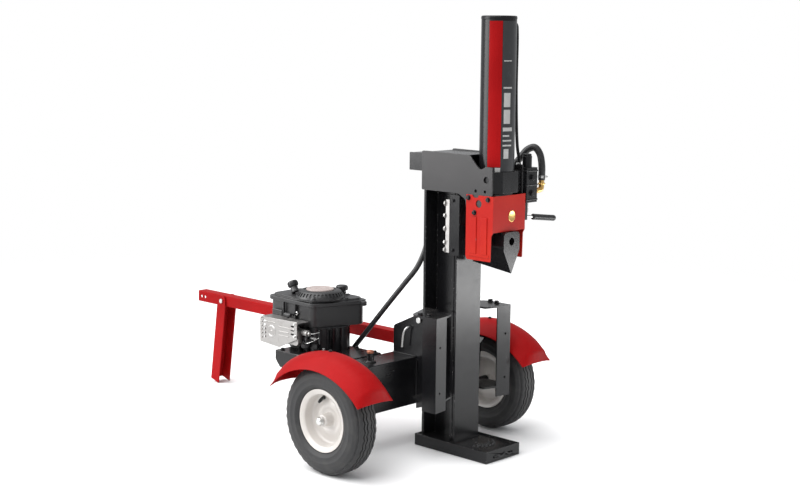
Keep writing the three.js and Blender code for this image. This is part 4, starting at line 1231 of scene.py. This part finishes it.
# %% Muffler guard trim
face_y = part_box("muffler_guard")[0][1] / MM
RING = [(15, 0), (17, 1.6), (21, 2.4), (25, 1.6), (27, 0)]
ring = turned("guard_ring", RING, 48, (-546, face_y + 0.4, 424), "Y", 40, closed=True, flip=True)
DIMPLE = [(0, 1.4), (5, 1.2), (8, 0), (0, -0.2)]
dimple = turned("guard_dimple", DIMPLE, 32, (-546, face_y + 0.2, 424), "Y", 40, flip=True)
BARS = {
    "top": (-508, -404, 448, 454), "mid": (-500, -440, 430, 435), "low": (-500, -440, 414, 419),
    "left": (-586, -520, 460, 465),
}
bars = [
    block(f"guard_bar_{name}", (left, face_y - 1.8, bottom), (right, face_y + 1, top), 1.2)
    for name, (left, right, bottom, top) in BARS.items()
]
shutters = []
for k in range(5):
    z = 392 + k * 16
    low, high = (-614, face_y - 5, z), (-600, face_y + 2, z + 4)
    shutters.append(block(f"guard_shutter_{k}", low, high, 1.0))
pressings = joined("muffler_guard_pressings", [ring, dimple, *bars, *shutters])
attach(pressings, "frame", "muffler_steel")
pipe_end = [(9, 0), (12, 0), (12.6, 0.8), (12.6, 30), (11, 31), (9, 31)]
stub = turned("exhaust_stub", pipe_end, 36, (-392, -240, 438), "X", closed=True)
nut = place(bolt_head("exhaust_bolt", 14, 8, 1.5, 4), (-362, -240, 438), "X")
attach(joined("exhaust_pipe", [stub, nut]), "frame", "muffler_steel")
guard_bolt = bolt_head("guard_bolt", 10, 5, 1.2)
spots = [((x, face_y, z), SOUTH) for x, z in ((-606, 474), (-404, 474), (-404, 424))]
attach(bolts("muffler_guard_bolts", guard_bolt, spots), "frame", "plated_steel")
drop(guard_bolt)

# %% Starter rope, from its eyelet out to the grip
grip_low, grip_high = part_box("starter_grip")
rope_z = (grip_low[2] + grip_high[2]) / 2 / MM
rope_line = [(-470, -206 - 0.8 * k, 500 + (rope_z - 500) * k / 40) for k in range(41)]
rope = pipe("starter_rope", rope_line, 2.6, 10)
at(*rope_line[2])
at(*rope_line[38])
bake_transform(rope)
coat(rope, "hose_rubber")
EYELET = [(3, 0), (8, 0), (9, 1.5), (8, 4), (5, 5), (3, 4)]
eyelet = turned("rope_eyelet", EYELET, 32, (-470, -204, 500), "Y", 34, closed=True, flip=True)
attach(eyelet, "frame", "plated_steel")
print("engine done")

# %% [markdown]
# ## Bolts on the beam and guard
# Each size of bolt is modelled once, then copied with its own mesh to every place where one
# is needed. Copies in one area are joined, because they are tightened and painted together.

# %% Bolts
NEAR_FACE = 38.7
FAR_FACE = 2 * BEAM_Y - NEAR_FACE
SIDES = (-1, 1)
m12 = bolt_head("m12", 17, 7, 2.0)
m10 = bolt_head("m10", 14, 6, 1.6)
m8 = bolt_head("m8", 11, 5, 1.4)
guard_places = [(226, 1010), (322, 1009), (256, 956)]
guard_spots = [((x, NEAR_FACE, z), SOUTH) for x, z in guard_places]
guard_spots += [((x, FAR_FACE, z), NORTH) for x, z in guard_places]
attach(bolts("guard_bolts", m10, guard_spots), "beam", "black_trim")
gib_low, gib_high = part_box("gib_plate_near")
gib_reach = BEAM_Y - gib_low[1] / MM - 5.5
GIB_HEIGHTS = (976, 930, 879, 825, 797)
gib_spots = [((104, BEAM_Y + side * gib_reach, z), WEST) for side in SIDES for z in GIB_HEIGHTS]
attach(bolts("gib_bolts", m12, gib_spots), "wedge", "bare_steel")
guard_ribs = [
    block(f"guard_rib_{k}", (low, NEAR_FACE - 3.4, 800), (high, NEAR_FACE + 0.4, 941), 3.2, 5)
    for k, (low, high) in enumerate(((236, 268), (290, 320)))
]
guard_ribs.append(
    block("guard_rib_foot", (230, NEAR_FACE - 2.0, 790), (330, NEAR_FACE + 0.4, 801), 1.9, 4)
)
attach(joined("guard_ribs", guard_ribs), "beam", "guard_red")
carriage_spots = [
    ((140, BEAM_Y + side * 85, z), (0, side, 0)) for side in SIDES for z in (800, 990)
]
attach(bolts("carriage_bolts", m8, carriage_spots), "wedge", "black_trim")
cradle_spots = [
    ((x, BEAM_Y + side * y, 555), UP) for side in SIDES for x, y in ((88, 206), (128, 198))
]
attach(bolts("cradle_bolts", m12, cradle_spots), "beam", "black_trim")
tank_spots = [((x, y, 355.6), UP) for x in (-198, -300, -490) for y in (-262, -30)]
attach(bolts("platform_bolts", m10, tank_spots), "frame", "black_trim")
AXLE_HOLES = [(-150, 190), (-150, 280), (-70, 190), (-60, 270)]
axle_spots = [((x, side * 349.2, z), (0, side, 0)) for side in SIDES for x, z in AXLE_HOLES]
attach(bolts("axle_plate_bolts", m12, axle_spots), "frame", "black_trim")
pump_spots = [
    ((ENGINE_X + a * 24, ENGINE_Y + b * 34, 238), (0, 0, -1)) for a in SIDES for b in SIDES
]
attach(bolts("pump_bolts", m8, pump_spots), "frame", "plated_steel")
drop(m12, m10, m8)

# %% [markdown]
# ## Welds
# Beads of weld join the frame and the beam, and they are left as laid under the paint.
# A bead is a thin round bar whose radius ripples with each dab of the torch.

# %% Weld beads
FOOT_RUNS = {"bead_foot": (137, 151.8), "bead_heel": (-12, -25.5)}
beam_welds = [
    weld(name, [(a, 60, 41.5), (b, 60, 41.5), (b, 206, 41.5), (a, 206, 41.5)], 2.8)
    for name, (a, b) in FOOT_RUNS.items()
]
for bottom, top in ((46, 92), (288, 344), (560, 610)):
    for side in SIDES:
        y = BEAM_Y + side * 64.5
        beam_welds.append(weld(f"stitch_{bottom}_{side}", [(139, y, bottom), (139, y, top)], 2.6))
for side in SIDES:
    near = BEAM_Y + side * 76
    beam_welds.append(weld(f"bead_shelf_{side}", [(-18, near, 548), (58, near, 548)], 2.6))
    beam_welds.append(weld(f"bead_low_shelf_{side}", [(16, near, 223.5), (58, near, 223.5)], 2.6))
    edge = BEAM_Y + side * 51
    beam_welds.append(weld(f"bead_rest_{side}", [(-25, edge, 1090), (-25, edge, 1156)], 2.6))
attach(joined("beam_welds", beam_welds), "beam", "black_paint")
frame_welds = [
    weld("bead_riser", [(-66, BEAM_Y - 25, 353), (-66, BEAM_Y + 25, 353)], 3.0),
    weld("bead_riser_near", [(-172, BEAM_Y - 25, 353), (-68, BEAM_Y - 25, 353)], 3.0),
    weld("bead_riser_far", [(-172, BEAM_Y + 25, 353), (-68, BEAM_Y + 25, 353)], 3.0),
    weld("bead_tongue_near", [(-172, BEAM_Y - 25.5, 366), (-68, BEAM_Y - 25.5, 366)], 2.4),
]
for side in SIDES:
    outer = BEAM_Y + side * 85.5
    frame_welds.append(weld(f"bead_ear_{side}", [(-170, outer, 353.4), (-47, outer, 353.4)], 3.0))
    frame_welds.append(weld(f"bead_ear_front_{side}", [(-44, outer, 345), (-44, outer, 165)], 3.0))
    wall = side * 341.5
    frame_welds.append(weld(f"bead_tank_{side}", [(-178, wall, 166), (-178, wall, 298)], 2.6))
NECK_X, NECK_Y = -104, -150
angles = [k * math.pi / 12 for k in range(25)]
ring = [(NECK_X + 22 * math.cos(a), NECK_Y + 22 * math.sin(a), 353) for a in angles]
frame_welds.append(weld("bead_filler", ring, 2.2))
attach(joined("frame_welds", frame_welds), "frame", "black_trim")
print("weld beads", len(beam_welds) + len(frame_welds))

# %% [markdown]
# ## Foot plate, latch and small things
# The tray of the foot has two toothed arcs that bite the end of a log, and a twisted tie
# through the two slots in front. The latch is a bent plated rod.

# %% Grips in the tray
teeth = []
bpy.ops.mesh.primitive_cone_add(
    vertices=6, radius1=6.5 * MM, radius2=1.6 * MM, depth=7 * MM, location=(0, 0, 3.5 * MM),
)
tooth = bpy.context.object
bpy.ops.object.transform_apply(location=True, rotation=True, scale=True)
done(tooth, 20)
for arc, (reach, centre) in enumerate(((52, 232), (30, 238))):
    for k in range(9):
        swing = math.radians(-70 + 17.5 * k)
        across, along = reach * 1.15 * math.sin(swing), reach * math.cos(swing)
        spot = at(centre - 10 + along, BEAM_Y + across, 40)
        teeth.append(again(tooth, f"tooth_{arc}_{k}", Matrix.Translation(spot)))
attach(joined("foot_grips", teeth), "beam", "black_trim")
drop(tooth)
TIE = [
    (320.5, -52, 19), (332.5, -51, 19), (340, -46, 20), (341.5, -34, 23), (341, -14, 16),
    (341.5, 0, 20), (341, 14, 24), (341.5, 34, 16), (340, 46, 18), (332.5, 51, 19),
    (320.5, 52, 19),
]
tie_line = [(x, BEAM_Y + y, z) for x, y, z in TIE]
attach(pipe("slot_tie", smooth_route(tie_line, 80), 3.0, 10), "beam", "small_plastic")

# %% Latch rod, tank louvres, emblem and caps
EAR_FACE = BEAM_Y - 84
LATCH = [
    (-100, -24, 386), (-96, -24, 430), (-90, -23, 452), (-82, -18, 465), (-79, -8, 468),
    (-79, 0, 468), (-79, 8, 468),
]
latch_line = [(x, EAR_FACE + y, z) for x, y, z in LATCH]
adopt(pipe("lock_rod_bent", smooth_route(latch_line, 48), 4.0, 16), "lock_rod")
louvres = []
for k in range(3):
    y, z = -138 + 14 * k, 296 + 9 * k
    louvres.append(block(f"tank_louvre_{k}", (-46, y, z), (-42.6, y + 34, z + 4), 1.2))
attach(joined("tank_louvres", louvres), "frame", "black_trim")
badge_line = [(0, 0), (16, 0), (17, 0.4), (17, 1.0), (15.6, 1.5), (14.6, 1.0), (0, 1.0)]
badge = spun("guard_badge", badge_line, 56)
edit(badge, "VERT", whole=True)
bpy.ops.transform.resize(value=(1.3, 1.15, 1.0))
bpy.ops.object.mode_set(mode="OBJECT")
place(badge, (347.1, BEAM_Y + 15, 942), "X")
attach(done(badge, 30), "beam", "brass")
neck_line = [
    (0, 352.4), (21, 352.4), (21, 357), (19, 359), (15.4, 360.5), (15, 362), (15, 384),
    (16.4, 385), (16.4, 388), (0, 388.2),
]
adopt(turned("filler_neck_turned", neck_line, 48, (NECK_X, NECK_Y, 0)), "filler_neck")
cap_line = [(0, 0), (13, 0), (13.6, 1), (13.6, 8), (12.4, 10), (9, 11.6), (4, 12), (0, 12)]
breather = knurled("breather_cap_turned", cap_line, 60, 1, 7.9, 0.6)
adopt(place(breather, (NECK_X, NECK_Y, 388.6)), "filler_breather")

# %% Is anything left plain?
left = [name for name, node in nodes.items() if not node.hide_render]
print("CAD nodes still shown", left)

# %% [markdown]
# ## Studio
# The machine stands on a plain pale floor under a soft sky. One broad sun-like light gives
# the floor its even white and a soft contact shadow; the floor fades out far from the
# machine, so it has no horizon. Two large panels of light are there for the paint alone:
# black enamel shows its shape only by what it reflects.

# %% Floor
clear()
bpy.ops.mesh.primitive_grid_add(
    x_subdivisions=90, y_subdivisions=90, size=11, location=(0, 0, -0.0015),
)
floor = bpy.context.object
floor.name = "studio_floor"
fade = floor.data.attributes.new("fade", "FLOAT", "POINT")
for vertex, value in zip(floor.data.vertices, fade.data):
    reach = math.hypot(vertex.co.x, vertex.co.y)
    value.value = max(0.0, min(1.0, (4.6 - reach) / 2.4))
f = Finish("studio floor")
mottle = f.noise(1.2, 3.0)
tint = f.blend(mottle * 0.3, tone(0.95, 0.95, 0.95), tone(0.93, 0.93, 0.93))
floor.data.materials.append(f.surface(tint, mottle * 0.1 + 0.75, 0.0, None, Alpha=f.mark("fade")))

# %% Light
scene = bpy.context.scene
scene.view_settings.view_transform = "Standard"
world = bpy.data.worlds.new("studio_sky")
scene.world = world
world.use_nodes = True
sky = world.node_tree
sky.nodes.clear()
SKIES = ((tone(1.0, 1.0, 1.0), 1.0), (tone(0.97, 0.98, 1.0), 0.62))
seen, lit = [sky.nodes.new("ShaderNodeBackground") for _ in SKIES]
for part, (colour, strength) in zip((seen, lit), SKIES):
    part.inputs["Color"].default_value = colour
    part.inputs["Strength"].default_value = strength
ray = sky.nodes.new("ShaderNodeLightPath")
choose = sky.nodes.new("ShaderNodeMixShader")
out = sky.nodes.new("ShaderNodeOutputWorld")
sky.links.new(ray.outputs["Is Camera Ray"], choose.inputs[0])
sky.links.new(lit.outputs[0], choose.inputs[1])
sky.links.new(seen.outputs[0], choose.inputs[2])
sky.links.new(choose.outputs[0], out.inputs["Surface"])


def lamp(name, kind, where, target, power, **settings):
    data = bpy.data.lights.new(name, kind)
    data.energy = power
    for key, value in settings.items():
        setattr(data, key, value)
    made = bpy.data.objects.new(name, data)
    scene.collection.objects.link(made)
    made.location = where
    made.rotation_euler = (Vector(target) - Vector(where)).to_track_quat("-Z", "Y").to_euler()
    return made


AIM = (0.5, 0.0, 0.7)
lamp("key_sun", "SUN", (-0.9, -2.3, 5.0), AIM, 4.4, angle=math.radians(80))
PANELS = {
    "left_panel": ((-2.2, -3.1, 1.85), 115, 2.8, 2.5),
    "right_panel": ((2.26, 1.75, 0.28), 20, 1.7, 0.42),
}
for name, (where, power, width, height) in PANELS.items():
    level_aim = (AIM[0], AIM[1], where[2])
    panel = lamp(
        name, "AREA", where, level_aim, power, shape="RECTANGLE", size=width, size_y=height,
    )
    panel.visible_camera = False
    panel.visible_diffuse = False
